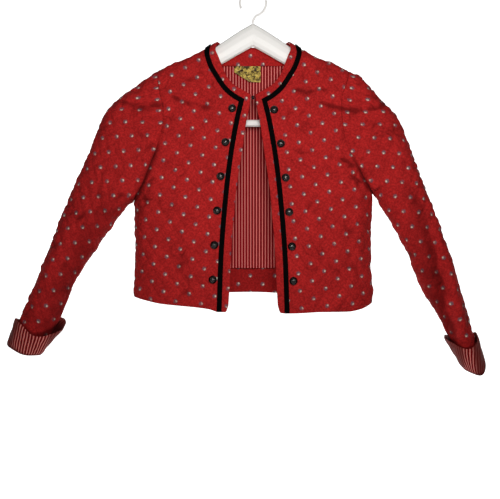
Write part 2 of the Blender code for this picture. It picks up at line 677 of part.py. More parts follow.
def pressed_quilt(loop, lean, line, pressed):
    """Quilting that lies flat under the braid along a flat line, and round some flat points."""
    borders = [offset_line(line, s * (BRAID_WIDTH / 2 + 0.6))[1:-1] for s in (-1, 1)]
    places, heights, edges = quilt_lattice(loop, lean, borders + [line])
    flats = np.concatenate([pressed, line[:4], line[-4:]])
    near = np.min(np.linalg.norm(places[:, None] - flats[None], axis=2), axis=1)
    heights = np.where(near < PRESSED_FLAT, 0.0, heights)
    for border in borders:
        keep = inside(border, loop) & (distance(border, segments(loop, True)) > 1.5)
        border = border[keep]
        start = len(places)
        places = np.concatenate([places, border])
        heights = np.concatenate([heights, np.zeros(len(border))])
        gaps = np.linalg.norm(np.diff(border, axis=0), axis=1)
        edges = edges + [(start + k, start + k + 1) for k in range(len(border) - 1) if gaps[k] < 25.0]
    return places, heights, edges


def make_front(side, name):
    neck = curve_of(NECK_FRONT, EDGE_STEP, "z", "x")
    opening = curve_of(FRONT_EDGE, 16.0, "z", "x")
    hem = curve_of(HEMS[side], EDGE_STEP)
    seam = armhole_points(side)
    top_x = np.linspace(abs(seam[0, 0]), NECK_FRONT["x"][0], 12)
    shoulder = flat_of_body(side * top_x, ridge(top_x))
    side_z = np.linspace(hem[-1, 1], seam[-1, 1], 14)
    side_x = smooth(side_z, BODY_WIDTH["z"], BODY_WIDTH["half_width"])

    neck = flat_of_body(side * neck[:, 0], neck[:, 1])
    opening = flat_of_body(side * opening[:, 0], opening[:, 1])
    hem = flat_of_body(side * hem[:, 0], hem[:, 1])
    side_line = flat_of_body(side * side_x, side_z)
    armhole = flat_of_body(seam[:, 0], seam[:, 1])

    parts = [shoulder[:-1], neck[:-1], opening[:-1], hem[:-1], side_line[:-1], armhole[::-1][:-1]]
    loop = np.concatenate(parts)
    gap = SEAM_GAP / 2
    amounts = np.concatenate([np.full(len(p), a) for p, a in zip(parts, (gap, 0, 0, 0, gap, 0))])
    amounts[len(parts[0])] = gap
    start = sum(len(p) for p in parts[:5])
    amounts[start] = gap
    loop = inset(loop, amounts)

    form = Sleeve(side)
    seam, _, sleeve_normals = sleeve_seam(form, FRONT)
    normals = seam_normals(side, FRONT, seam, sleeve_normals)[::-1]
    rim = {start + k: normals[k] for k in range(1, len(normals) - 1)}
    rim[0], rim[start] = corner_normals(side)
    cloth_panel(
        name, loop, lambda f: body_place(f, FRONT), 1.0,
        pressed_quilt(loop, side * FRONT_LEAN, braid_flat(side), flat_of_body(*button_places(side).T)),
        rim, body_inner_grid(side), ("cloth", RED, 0.85),
    )


def make_back():
    seams = {side: armhole_points(side) for side in (RIGHT, LEFT)}
    neck_half = curve_of(NECK_BACK, EDGE_STEP)
    neck = np.concatenate([neck_half[:-1] * [-1, 1], neck_half[::-1]])
    hem = curve_of(BACK_HEM, EDGE_STEP)
    top_x = np.linspace(NECK_BACK["x"][0], abs(seams[LEFT][0, 0]), 12)

    def side_points(side, low):
        z = np.linspace(seams[side][-1, 1], low, 14)
        return flat_of_body(side * smooth(z, BODY_WIDTH["z"], BODY_WIDTH["half_width"]), z)

    parts = [
        flat_of_body(neck[:, 0], neck[:, 1])[:-1],
        flat_of_body(top_x, ridge(top_x))[:-1],
        flat_of_body(*seams[LEFT].T)[:-1],
        side_points(LEFT, hem[-1, 1])[:-1],
        flat_of_body(hem[::-1, 0], hem[::-1, 1])[:-1],
        side_points(RIGHT, hem[0, 1])[::-1][:-1],
        flat_of_body(*seams[RIGHT][::-1].T)[:-1],
        flat_of_body(-top_x[::-1], ridge(top_x[::-1]))[:-1],
    ]
    loop = np.concatenate(parts)
    gap = SEAM_GAP / 2
    amounts = [np.full(len(p), a) for p, a in zip(parts, (0, gap, 0, gap, 0, gap, 0, gap))]
    starts = np.cumsum([0] + [len(p) for p in parts])
    amounts = np.concatenate(amounts)
    for k in (0, 4):
        amounts[starts[k]] = gap
    loop = inset(loop, amounts)

    rim = {}
    for side, part, order in ((LEFT, 2, 1), (RIGHT, 6, -1)):
        seam, _, sleeve_normals = sleeve_seam(Sleeve(side), BACK)
        normals = seam_normals(side, BACK, seam, sleeve_normals)[::order]
        rim.update({starts[part] + k: normals[k] for k in range(1, len(normals) - 1)})
        ends = (starts[part], starts[part + 1])
        rim[ends[0 if order > 0 else 1]], rim[ends[1 if order > 0 else 0]] = corner_normals(side)
    grid = np.concatenate([body_inner_grid(RIGHT), body_inner_grid(LEFT)])
    quilt = pressed_quilt(loop, 0.0, neck_braid_flat(), np.zeros((0, 2)))
    cloth_panel("back", loop, lambda f: body_place(f, BACK), -1.0, quilt, rim, grid, ("cloth", RED, 0.85))


def round_values(values, angle):
    """A smooth value round a cuff from its values outside, in front, inside and behind."""
    outer, front, inner, back = values
    return (
        (outer + front + inner + back) / 4
        + (outer - inner) / 2 * np.cos(angle)
        + (front - back) / 2 * np.sin(angle)
        + (outer + inner - front - back) / 4 * np.cos(2 * angle)
    )


def make_sleeve(side, name):
    form = Sleeve(side)
    seam, front_seam, front_normals = sleeve_seam(form, FRONT)
    _, back_seam, back_normals = sleeve_seam(form, BACK)
    front_mean = seam_normals(side, FRONT, seam, front_normals)
    back_mean = seam_normals(side, BACK, seam, back_normals)

    share = np.linspace(-1, 1, 15)
    fold = round_values(CUFF_FOLD[side], share * math.pi) + CUFF_THICK + CUFF_FLOOR
    end = np.stack([share * form.half_girth(fold), fold], axis=1)
    levels = np.linspace(end[-1, 1], form.under, 26)
    front_side = np.stack([form.half_girth(levels), levels], axis=1)
    back_side = front_side[::-1] * [-1, 1]

    parts = [end[:-1], front_side[:-1], front_seam[::-1][:-1], back_seam[:-1], back_side[:-1]]
    starts = np.cumsum([0] + [len(p) for p in parts])
    loop = np.concatenate(parts)
    amounts = np.zeros(len(loop))
    amounts[starts[2] + 1 : starts[4]] = SEAM_GAP
    loop = inset(loop, amounts)
    for k in (starts[2], starts[4]):
        loop[k, 1] -= SEAM_GAP
        loop[k, 0] = np.sign(loop[k, 0]) * form.half_girth(loop[k, 1])[0]
    rim = {starts[2] + k: front_mean[::-1][k] for k in range(1, len(front_mean) - 1)}
    rim.update({starts[3] + k: back_mean[k] for k in range(1, len(back_mean) - 1)})
    welded = list(range(starts[1], starts[2])) + list(range(starts[4], starts[5]))

    rim.update({int(k): np.array([-form.outward[0], 0.0, -form.outward[1]]) for k in welded + [0]})
    over, under = corner_normals(side)
    rim.update({starts[2]: under, starts[4]: under, starts[3]: over})
    grid = []
    tube_levels = np.arange(-22, form.under - 20, 38.0)
    for t in np.concatenate([tube_levels, np.arange(form.under - 12, form.top, 12.0)]):
        girth = form.half_girth(t)[0]
        count = max(1, int(girth / 12.0))
        grid += [(q, t) for q in np.linspace(-girth, girth, 2 * count + 1)]
    cloth_panel(
        name, loop, form.place, -side, quilt_lattice(loop, 0.0, []), rim, np.array(grid),
        ("cloth", RED, 0.85), open_edges=set(int(k) for k in welded),
    )


def cuff_rim(side, angle):
    """How high a cuff's rim reaches up the sleeve at an angle round it."""
    return round_values(CUFF_RIM[side], angle) + CUFF_RIM_TWIST[side] * np.sin(2 * angle)


def make_cuff(side, name):
    """The turned-back end of the lined sleeve: a fold under the sleeve's end, flaring up to its rim."""
    form = Sleeve(side)
    angle = np.arange(CUFF_SIDES) * 2 * math.pi / CUFF_SIDES
    rim = cuff_rim(side, angle)
    fold = round_values(CUFF_FOLD[side], angle)
    flare = round_values(CUFF_FLARE[side], angle)
    clear = 1.0 + QUILT_RISE
    middle = (rim + fold) / 2
    lip = -WALL - 2.0
    profile = [
        (clear + CUFF_THICK * 0.8, fold + 1.2),
        (clear + CUFF_THICK + flare * 0.35, middle),
        (clear + CUFF_THICK + flare, rim),
        (clear + flare, rim),
        (clear + flare * 0.35, middle),
        (clear + 0 * rim, fold + CUFF_THICK + 1.5),
        (clear * 0.4 + 0 * rim, fold + CUFF_THICK),
        (lip + 0 * rim, fold + CUFF_THICK),
        (lip + 0 * rim, fold + CUFF_LIP),
        (lip - CUFF_THICK * 0.8 + 0 * rim, fold + CUFF_LIP),
        (lip - CUFF_THICK * 0.8 + 0 * rim, fold + 1.0),
        (-WALL * 0.5 + 0 * rim, fold),
    ]
    points = []
    for out, t in profile:
        outer, inner, _ = form.edges(t)
        p = (outer + inner) / 2 + ((outer - inner) / 2 + out) * np.cos(angle)
        depth = (smooth(t, SLEEVE_DEPTH[side]["t"], SLEEVE_DEPTH[side]["depth"]) + out) * np.sin(angle)
        xz = form.origin + t[:, None] * form.axis + p[:, None] * form.outward
        y = -depth - smooth(t, SLEEVE_FORWARD["t"], SLEEVE_FORWARD["forward"])
        points.append(np.stack([xz[:, 0], y, xz[:, 1]], axis=1))
    faces = []
    for ring in range(len(profile)):
        above = (ring + 1) % len(profile)
        for k in range(CUFF_SIDES):
            n = (k + 1) % CUFF_SIDES
            low, high = ring * CUFF_SIDES, above * CUFF_SIDES
            faces.append([low + k, low + n, high + n, high + k])
    add_mesh(name, np.concatenate(points), faces, ("lining", LINING_RED, 0.6))


def strip_on(name, line, face, look, width=BRAID_WIDTH):
    """A ribbon sewn on the body: its edges follow a flat line, moved out from the cloth."""
    points = []
    for across, lift in ((-0.5, 0.0), (-0.42, 0.8), (0.0, 1.0), (0.42, 0.8), (0.5, 0.0)):
        flat = offset_line(line, across * width)
        seam = ridge(flat[:, 0]) + SHOULDER_EXTRA
        flat[:, 1] = np.minimum(flat[:, 1], seam - 0.5)
        gap = BRAID_GAP + BRAID_EASE * np.clip(1 - (seam - flat[:, 1]) / BRAID_EASE_LENGTH, 0, 1)
        normals = normals_of(lambda f: body_place(f, face), flat, -face)
        points.append(body_place(flat, face) + normals * (gap + lift * BRAID_THICK)[:, None])
    sections = np.stack(points, axis=1)
    count, corners = sections.shape[:2]
    faces = []
    for k in range(count - 1):
        for c in range(corners):
            n = (c + 1) % corners
            faces.append([k * corners + c, k * corners + n, (k + 1) * corners + n, (k + 1) * corners + c])
    faces.append(list(range(corners)))
    faces.append([(count - 1) * corners + c for c in range(corners)])
    add_mesh(name, sections.reshape(-1, 3), faces, look)


def make_braids():
    look = ("braid", BLACK, 0.7)
    for side, name in ((RIGHT, "braid_right"), (LEFT, "braid_left")):
        strip_on(name, braid_flat(side), FRONT, look)
    strip_on("braid_neck", neck_braid_flat(), BACK, look)


def make_buttons():
    """Domed buttons, turned from one profile and set square to the cloth beside the braid."""
    profile = [
        (0.0, BUTTON_HEIGHT), (2.4, BUTTON_HEIGHT - 0.5), (4.3, BUTTON_HEIGHT - 1.7),
        (5.3, BUTTON_HEIGHT - 2.9), (BUTTON_RADIUS, 0.9), (5.3, 0.0), (0.0, 0.0),
    ]
    mesh = bpy.data.meshes.new("button")
    edges = [(k, k + 1) for k in range(len(profile) - 1)]
    mesh.from_pydata([(x * MM, 0, z * MM) for x, z in profile], edges, [])
    mesh.materials.append(material("button", DARK_METAL, 0.35, 0.9))
    for side, word in ((RIGHT, "right"), (LEFT, "left")):
        places = button_places(side)
        flat = flat_of_body(places[:, 0], places[:, 1])
        normals = normals_of(lambda f: body_place(f, FRONT), flat, 1.0)
        points = body_place(flat, FRONT) + normals * BUTTON_GAP
        for k in range(BUTTON_COUNT):
            obj = bpy.data.objects.new(f"button_{word}_{k + 1}", mesh)
            bpy.data.collections["trachten_jacket"].objects.link(obj)
            turn = Vector(normals[k]).to_track_quat("Z", "Y")
            obj.matrix_world = Matrix.Translation(Vector(points[k] * MM)) @ turn.to_matrix().to_4x4()
            screw = obj.modifiers.new("turned", "SCREW")
            screw.steps = BUTTON_SIDES
            screw.render_steps = BUTTON_SIDES
            screw.use_merge_vertices = True
            screw.merge_threshold = 0.00001


def back_without_folds(flat):
    """The back's smooth form, on which its inner layers hang."""
    across, arcs = side_arc(flat[:, 1])
    x = np.sign(flat[:, 0]) * rows_interp(np.abs(flat[:, 0]), arcs, across)
    z = ridge(x) - np.interp(ridge(x) + SHOULDER_EXTRA - flat[:, 1], ALONG, DROPS)
    return np.stack([x, body_depth(x, z), z], axis=1)


def layer_inside(name, columns, rows, outside, thick, look, ripple=None, top=None):
    """A layer of thin cloth on the inner side of the back, over a grid of flat points."""
    flat = inner_grid(columns, rows)
    if top is not None:
        share = (flat[:, 1] - rows[-1]) / (rows[0] - rows[-1])
        flat[:, 1] = rows[-1] + share * (top(flat[:, 0]) - rows[-1])
    normals = normals_of(back_without_folds, flat, -1.0)
    lift = np.zeros(len(flat)) if ripple is None else ripple(flat)
    base = back_without_folds(flat)
    near = base - normals * (WALL + outside + lift)[:, None]
    far = base - normals * (WALL + outside + lift + thick)[:, None]
    across, down = len(columns), len(rows)
    count = across * down
    faces = []
    for a in range(across - 1):
        for b in range(down - 1):
            k = a * down + b
            quad = [k, k + 1, k + down + 1, k + down]
            faces.append(quad)
            faces.append([count + v for v in reversed(quad)])
    edge = [a * down for a in range(across)]
    edge += [(across - 1) * down + b for b in range(1, down)]
    edge += [a * down + down - 1 for a in range(across - 2, -1, -1)]
    edge += [b for b in range(down - 2, 0, -1)]
    for k, n in zip(edge, edge[1:] + edge[:1]):
        faces.append([k, n, count + n, count + k])
    return add_mesh(name, np.concatenate([near, far]), faces, look)


LINING_FOLDS = table(
    "x width height",
    (-112, 16, 3.2), (-58, 12, 2.6), (-14, 14, 2.2), (22, 10, 3.4), (64, 14, 2.4), (118, 16, 3.4),
)


def lining_ripple(flat):
    """Soft vertical folds of the loose lining, held flat at its top seam."""
    total = np.zeros(len(flat))
    for x, width, height in zip(*LINING_FOLDS.values()):
        total += height * np.exp(-(((flat[:, 0] - x) / width) ** 2))
    return total * np.clip((-112.0 - flat[:, 1]) / 80.0, 0, 1) * np.clip((flat[:, 1] + 417.0) / 50.0, 0.25, 1)


def make_inside():
    """The layers that show inside the back: the neck facing and the striped lining."""
    lining = ("lining", LINING_RED, 0.6)
    cloth = ("facing", RED, 0.85)
    across = np.linspace(-132, 132, 23)
    rows = np.linspace(LINING_TOP, LINING_BOTTOM, 9)
    layer_inside(
        "back_lining", across, rows, LAYER_GAP, LINING_THICK, lining, lining_ripple,
        lambda x: np.minimum(LINING_TOP, ridge(x) - 24.0),
    )
    shoulder = np.arange(-48, 49, 8.0)
    neck = np.linspace(NECK_BACK["z"].min() - 1.5, LINING_TOP + 0.5, 4)
    layer_inside("back_neck_facing", shoulder, neck, LAYER_GAP, LINING_THICK, cloth)


def make_label():
    """A bare woven label on the neck facing, a little crumpled, its lower corner turned up."""
    columns = np.linspace(*LABEL_EDGES, 9)
    rows = np.linspace(LABEL_TOP, LABEL_TOP - LABEL_DROP, 6)

    def crumple(flat):
        across = (flat[:, 0] - LABEL_EDGES[0]) / (LABEL_EDGES[1] - LABEL_EDGES[0])
        down = (LABEL_TOP - flat[:, 1]) / LABEL_DROP
        corner = np.clip(down - 0.35 - 0.9 * across, 0, 1)
        wave = 0.9 * np.sin(across * 7.0 + down * 2.0) * down
        return LINING_THICK + SEAM_GAP + wave + 9.0 * corner + 4.4 * down

    layer_inside("label", columns, rows, LAYER_GAP, LABEL_THICK, ("label", GOLD, 0.5), crumple)


HANGER = table(
    "x middle half_height",
    (0, -66, 17.5), (20, -77.2, 17.2), (40, -89.6, 16.4), (52, -97.4, 15.6), (62, -102.5, 15.2),
    (80, -112, 14.6), (105, -123, 14.2), (133, -134.5, 13.6), (155, -148.0, 13.6), (170, -159.5, 13.3),
    (185, -175.5, 14.0), (195, -187, 15.0), (200, -192, 13.5), (203, -194, 10.0),
)


def tube(name, points, radius, look, cyclic=False, sides=2):
    curve = bpy.data.curves.new(name, "CURVE")
    curve.dimensions = "3D"
    spline = curve.splines.new("POLY")
    spline.points.add(len(points) - 1)
    for point, at in zip(spline.points, points):
        point.co = (*(np.asarray(at) * MM), 1.0)
    spline.use_smooth = True
    spline.use_cyclic_u = cyclic
    curve.bevel_depth = radius * MM
    curve.bevel_resolution = sides
    curve.use_fill_caps = not cyclic
    curve.materials.append(material(*look))
    obj = bpy.data.objects.new(name, curve)
    bpy.data.collections["trachten_jacket"].objects.link(obj)
    return obj


def hanger_section(x):
    """The middle and the half height of the hanger's arm at a place across."""
    middle = smooth(abs(x), HANGER["x"], HANGER["middle"])
    return float(middle), float(smooth(abs(x), HANGER["x"], HANGER["half_height"]))


def make_hanger():
    look = ("hanger", WHITE, 0.45)
    half = np.array([0, 20, 40, 56, 72, 92, 114, 136, 154, 170, 184, 195, 200, HANGER_HALF_SPAN])
    stations = np.concatenate([-half[::-1], half[1:]])
    points = []
    for x in stations:
        middle, tall = hanger_section(x)
        tip = max(0.0, (abs(x) - HANGER_TIP_START) / HANGER_TIP_LENGTH)
        thick = HANGER_HALF_THICK * (0.35 + 0.65 * math.sqrt(max(0.0, 1 - tip ** 2)))
        for k in range(HANGER_SIDES):
            angle = 2 * math.pi * k / HANGER_SIDES
            c, s = math.cos(angle), math.sin(angle)
            y = thick * math.copysign(abs(c) ** HANGER_SQUARE_Y, c)
            z = middle + tall * math.copysign(abs(s) ** HANGER_SQUARE_Z, s)
            points.append((x, y, z))
    faces = []
    for ring in range(len(stations) - 1):
        for k in range(HANGER_SIDES):
            n = (k + 1) % HANGER_SIDES
            low, high = ring * HANGER_SIDES, (ring + 1) * HANGER_SIDES
            faces.append([low + k, low + n, high + n, high + k])
    faces.append(list(range(HANGER_SIDES)))
    faces.append([(len(stations) - 1) * HANGER_SIDES + k for k in range(HANGER_SIDES)])
    add_mesh("hanger_arms", points, faces, look)

    middle, tall = hanger_section(BAR_END)
    end_z = min(BAR_HEIGHT, middle - tall - BAR_RADIUS - BAR_CLEAR)
    bar = [(-BAR_END, 0, end_z), (-BAR_STRAIGHT, 0, BAR_HEIGHT)]
    bar += [(-x, y, z) for x, y, z in reversed(bar)]
    tube("hanger_bar", bar, BAR_RADIUS, look, sides=3)

    middle, tall = hanger_section(0.0)
    reach = HOOK_RADIUS + HOOK_WIRE
    centre = -HOOK_RADIUS
    foot = middle + tall
    points = [(0.0, 0.0, foot + 0.3), (0.0, 0.0, foot + 4.0)]
    points += [(1.6, 0.0, centre - reach - 3.4), (5.4, 0.0, centre - reach + 1.0)]
    for angle in np.radians(np.arange(-56, 205, 20.0)):
        points.append((reach * math.cos(angle), 0.0, centre + reach * math.sin(angle)))
    tube("hanger_hook", points, HOOK_WIRE, look)


# The eye's wire, across and up, and the hook's wire, across and back.
EYE_WIRE = ((7.5, 2.2), (2.6, 2.2), (0.9, 1.4), (0.4, 0.0), (0.9, -1.4), (2.6, -2.2), (7.5, -2.2))
HOOK_WIRE_PATH = (
    (-8.0, 1.15), (0.6, 1.15), (2.1, 0.85), (2.6, 0.0), (2.1, -0.85), (0.6, -1.15), (-1.4, -1.15),
)


def make_fastener():
    """The small hook and eye behind the neck corners of the two fronts."""
    look = ("hook_and_eye", BLACK, 0.4, 0.6)
    flat = flat_of_body(np.array([0.0]), np.array([FASTENER_HEIGHT]))
    y = body_place(flat, FRONT)[0, 1] + WALL + FASTENER_BEHIND
    tube("eye", [(a, y, FASTENER_HEIGHT + b) for a, b in EYE_WIRE], FASTENER_WIRE, look, sides=1)
    tube("hook", [(a, y + b, FASTENER_HEIGHT) for a, b in HOOK_WIRE_PATH], FASTENER_WIRE, look, sides=1)


def main():
    for obj in list(bpy.data.objects):
        bpy.data.objects.remove(obj, do_unlink=True)
    bpy.context.scene.collection.children.link(bpy.data.collections.new("trachten_jacket"))
    make_back()
    make_front(RIGHT, "front_right")
    make_front(LEFT, "front_left")
    make_sleeve(RIGHT, "sleeve_right")
    make_sleeve(LEFT, "sleeve_left")
    make_cuff(RIGHT, "cuff_right")
    make_cuff(LEFT, "cuff_left")
    make_braids()
    make_buttons()
    make_inside()
    make_label()
    make_hanger()
    make_fastener()


main()
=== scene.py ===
"""The looks of a child's quilted trachten jacket on its plain hanger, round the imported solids.

Every cloth piece is made again here from the same named sizes as its solid, in millimetres, as a
thin closed shell with fine quilting, folds, seams and printed or striped cloth.
"""

import math

import bpy
import numpy as np
from mathutils import Matrix, Vector
from mathutils.geometry import delaunay_2d_cdt
from mathutils.kdtree import KDTree


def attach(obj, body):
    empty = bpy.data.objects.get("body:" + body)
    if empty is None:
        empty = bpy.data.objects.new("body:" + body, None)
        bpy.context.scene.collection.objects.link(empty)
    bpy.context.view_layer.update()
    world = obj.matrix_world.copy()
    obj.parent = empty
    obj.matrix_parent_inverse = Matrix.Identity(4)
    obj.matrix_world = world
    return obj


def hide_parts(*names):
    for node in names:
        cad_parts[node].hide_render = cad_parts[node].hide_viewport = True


MM = 0.001
WALL = 2.5
SEAM_GAP = 0.3
QUILT_WIDTH = 19.0
QUILT_HEIGHT = 24.0
FRONT_LEAN = 0.07
QUILT_RISE = 1.4

SHOULDER_ROUND = 18.0
SHOULDER_DEPTH = 15.0
SIDE_ROUND = 62.0
SIDE_POWER = 2.2
NECK_LEVEL = -80.0

BRAID_WIDTH = 7.5
BRAID_THICK = 1.3
BRAID_LIFT = 0.1
BRAID_EASE = 0.8
BRAID_EASE_LENGTH = 26.0
PATH_POINT = 3.0

BUTTON_COUNT = 6
BUTTON_TOPS = (-179.2, -181.2)
BUTTON_STEP = 50.5
BUTTON_FROM_BRAID = 10.8
BUTTON_LIFT = 0.3

LAYER_GAP = 0.9
LINING_THICK = 1.2
LINING_TOP = -110.5
LINING_BOTTOM = -416.0
LABEL_FOLD = 0.9
LABEL_EDGES = (-28.0, 11.5)
LABEL_TOP = -110.5
LABEL_DROP = 24.0
LABEL_THICK = 0.4
CUFF_THICK = 2.0
CUFF_LIP = 9.0
CUFF_FLOOR = 3.0

RIGHT = -1.0
LEFT = 1.0
FRONT = -1.0
BACK = 1.0
SIDES = {RIGHT: "right", LEFT: "left"}


def table(names, *rows):
    """A short table with named columns, a row for each section, point or fold."""
    return dict(zip(names.split(), np.array(rows, float).T))


RIDGE = table(
    "x z",
    (0, -72), (40, -73.5), (52.5, -76), (61, -80), (69, -85.5), (79, -91.5), (90, -97.5),
    (105, -103.5), (120, -109.5), (133, -115.5), (145.5, -121.5), (155, -127.5), (170, -139.5),
    (195, -160), (215, -183), (260, -240),
)
BODY_WIDTH = table(
    "z half_width",
    (-490, 179), (-450, 178.5), (-420, 176.5), (-380, 176), (-340, 177.3), (-313, 178),
    (-300, 178.6), (-285, 182), (-262, 196), (-235, 222), (-200, 260), (-60, 300),
)
BODY_DEPTH = table(
    "drop extra", (0, 0), (18, 0), (60, 3), (120, 8), (180, 13.5), (240, 17.5), (320, 21), (420, 23)
)
NECK_FRONT = table(
    "x z", (52.5, -76), (56, -89), (52, -99.5), (46.6, -113), (40, -128.7), (29, -142.5), (16, -150.7),
    (3.4, -158),
)
NECK_BACK = table("x z", (52.5, -76), (40, -79.5), (20, -81.5), (0, -82))
FRONT_EDGE = table(
    "z x",
    (-158, 3.2), (-178, 5.3), (-195, 9.3), (-223, 13.3), (-252, 17.5), (-280.5, 21.8), (-309, 25.4),
    (-339, 27.8), (-366, 30.4), (-391, 32), (-440, 34.3), (-470, 36),
)
HEMS = {
    RIGHT: table("x z", (36, -470), (40, -479.5), (50, -479.5), (64, -475.5), (78, -473.3), (107, -470.4),
                 (136, -467.4), (158, -463), (179, -458)),
    LEFT: table("x z", (36, -470), (40, -480.5), (50, -481.6), (64, -481.4), (98, -479.6), (140, -479),
                (160, -475.5), (179, -467)),
}
BACK_HEM = table(
    "x z", (-179, -458), (-120, -456), (-60, -454), (0, -453), (60, -456), (120, -461), (179, -467)
)
ARMHOLES = {
    RIGHT: table("z x", (-120.5, 143), (-135, 141.7), (-150, 139.3), (-165, 136), (-180, 133),
                 (-195, 133.6), (-215, 137.6), (-237, 143.8), (-252, 149.3), (-268, 155.6), (-283, 162),
                 (-297, 168.6), (-307, 174), (-313, 178)),
    LEFT: table("z x", (-120.5, 143), (-133, 141.2), (-150, 135.2), (-165, 131.9), (-180, 131.2),
                (-196, 132.5), (-216, 136.3), (-236, 141.3), (-252, 149), (-270, 159.2), (-284, 166.3),
                (-293, 171.5), (-300, 178.6)),
}
SLEEVE_ORIGIN = {RIGHT: (-325.5, -508.5), LEFT: (313.5, -523.5)}
SLEEVE_LEAN = {RIGHT: math.radians(26.57), LEFT: math.radians(22.7)}
SLEEVE_OUTER = {
    RIGHT: table("t p", (-45, 25), (-20, 26), (0, 27), (30, 28.6), (70, 30.7), (107, 34.9), (158, 40.2),
                 (209, 44), (262, 46), (301, 49.4), (326, 51.6), (337, 51.6), (347.3, 49.4), (363.4, 44),
                 (381.5, 34.6), (399.6, 25.2), (417.7, 15.8), (428.7, 10.4)),
    LEFT: table("t p", (-60, 13.5), (-20, 15.5), (10, 16.8), (36, 21.5), (61, 24.1), (86, 26.6), (111, 30),
                (136, 32.4), (187, 34.6), (238, 36.6), (290, 38.5), (328, 39.6), (341, 38.8), (356, 35.2),
                (379, 26.8), (402, 18.2), (425.5, 8.4), (437.9, -1.6)),
}
SLEEVE_INNER = {
    RIGHT: table("t p", (-45, -21), (-20, -22), (0, -23.5), (30, -25.5), (56, -24), (90, -20.6),
                 (112, -21), (137, -25.2), (165, -28.6), (195, -33.3), (223, -38), (240.8, -44.2),
                 (262, -62), (300, -95), (430, -210)),
    LEFT: table("t p", (-60, -9), (-45, -11.5), (-15, -15.5), (24, -17.7), (40, -18.4), (68, -23),
                (96, -26.2), (122, -26.6), (147, -25.2), (174, -26.5), (201, -29.7), (242, -35.6),
                (258.2, -38), (270, -46), (285, -60), (320, -95), (440, -210)),
}
SLEEVE_DEPTH = {
    RIGHT: table("t depth", (-45, 15.5), (0, 16.5), (60, 20), (150, 24), (240, 25.5), (330, 20), (429, 15)),
    LEFT: table("t depth", (-60, 22), (0, 24.5), (60, 26), (150, 27), (262, 26.5), (340, 20), (438, 15)),
}
SLEEVE_FORWARD = table("t forward", (-60, 9), (60, 6), (200, 0.5), (240, 0), (440, 0))
CUFF_RIM = {RIGHT: (4.0, -3.0, 25.0, 20.0), LEFT: (3.0, -9.5, 15.0, 4.0)}
CUFF_RIM_TWIST = {RIGHT: 6.0, LEFT: 1.5}
CUFF_FOLD = {RIGHT: (-37.0, -38.0, -30.0, -35.0), LEFT: (-41.0, -54.0, -42.0, -44.0)}
CUFF_FLARE = {RIGHT: (2.5, 3.0, 8.0, 2.5), LEFT: (1.5, 3.5, 2.5, 2.5)}
BRAID_PATH = table(
    "x z",
    (66.5, -83.6), (68.5, -94.6), (64.2, -111.5), (53, -132), (41.5, -148.7), (29.6, -159.4), (17, -167),
    (22.5, -190), (30.3, -232), (36.3, -275), (41, -320), (44.8, -365), (47, -400), (48.2, -430),
    (49.7, -479),
)
BRAID_CORNER = 6
FOLDS = {
    FRONT: table(
        "x0 z0 x1 z1 width height",
        (-205, -172, -95, -148, 9, 3.0), (-190, -196, -120, -176, 8, 2.2), (58, -150, 140, -158, 9, 2.8),
        (120, -176, 200, -186, 8, 2.6), (165, -205, 226, -232, 9, 2.4), (126, -246, 168, -270, 6, 2.6),
        (118, -262, 160, -292, 6, 2.2), (-160, -262, -118, -240, 7, 2.2), (-186, -262, -226, -372, 8, 3.4),
        (-205, -300, -262, -430, 8, 2.6), (-150, -258, -168, -395, 11, 3.6),
        (158, -300, 150, -430, 11, 3.2), (279, -332, 294, -418, 8, 4.2), (292, -415, 318, -520, 7, 3.6),
        (-286, -380, -318, -450, 8, 2.4), (232, -250, 262, -330, 9, 2.4), (-110, -300, -96, -440, 12, 2.2),
        (96, -320, 90, -450, 12, 2.2), (-134, -196, -172, -304, 5, -4.5), (134, -204, 171, -290, 5, -3.5),
        (262, -306, 282, -388, 6, 3.8), (280, -376, 296, -452, 6, 4.8), (294, -440, 310, -530, 6, 4.6),
        (240, -300, 266, -392, 9, -4.2), (262, -370, 282, -458, 9, -6.0), (276, -440, 300, -540, 8, -5.5),
        (-252, -402, -300, -520, 10, -3.4), (-286, -390, -326, -500, 12, 2.0),
    ),
    BACK: table(
        "x0 z0 x1 z1 width height",
        (-200, -170, -110, -150, 9, 2.6), (62, -152, 150, -164, 9, 2.6), (-60, -150, 60, -154, 12, 2.0),
        (120, -262, 168, -292, 7, 2.4), (-170, -288, -120, -256, 7, 2.4), (-95, -250, -112, -430, 13, 3.2),
        (92, -260, 108, -440, 13, 3.0), (-20, -300, -8, -440, 14, 2.4), (232, -262, 292, -430, 9, 3.4),
        (-210, -290, -272, -430, 9, 3.2), (-290, -400, -318, -480, 8, 2.4), (296, -430, 316, -510, 8, 2.6),
    ),
}
LINING_FOLDS = table(
    "x width height",
    (-112, 16, 3.2), (-58, 12, 2.6), (-14, 14, 2.2), (22, 10, 3.4), (64, 14, 2.4), (118, 16, 3.4),
)


def smooth(at, xs, ys):
    """A monotone cubic curve through some points, held level past both ends."""
    order = np.argsort(xs)
    xs, ys = xs[order], ys[order]
    steps = np.diff(xs)
    slopes = np.diff(ys) / steps
    both = slopes[:-1] * slopes[1:] > 0
    weight_a, weight_b = 2 * steps[1:] + steps[:-1], steps[1:] + 2 * steps[:-1]
    safe_a, safe_b = np.where(both, slopes[:-1], 1.0), np.where(both, slopes[1:], 1.0)
    mean = (weight_a + weight_b) / (weight_a / safe_a + weight_b / safe_b)
    tangents = np.concatenate([slopes[:1], np.where(both, mean, 0.0), slopes[-1:]])
    at = np.clip(np.asarray(at, float), xs[0], xs[-1])
    k = np.clip(np.searchsorted(xs, at) - 1, 0, len(steps) - 1)
    u = (at - xs[k]) / steps[k]
    return (
        ys[k] * (1 + 2 * u) * (1 - u) ** 2
        + tangents[k] * steps[k] * u * (1 - u) ** 2
        + ys[k + 1] * u * u * (3 - 2 * u)
        + tangents[k + 1] * steps[k] * u * u * (u - 1)
    )


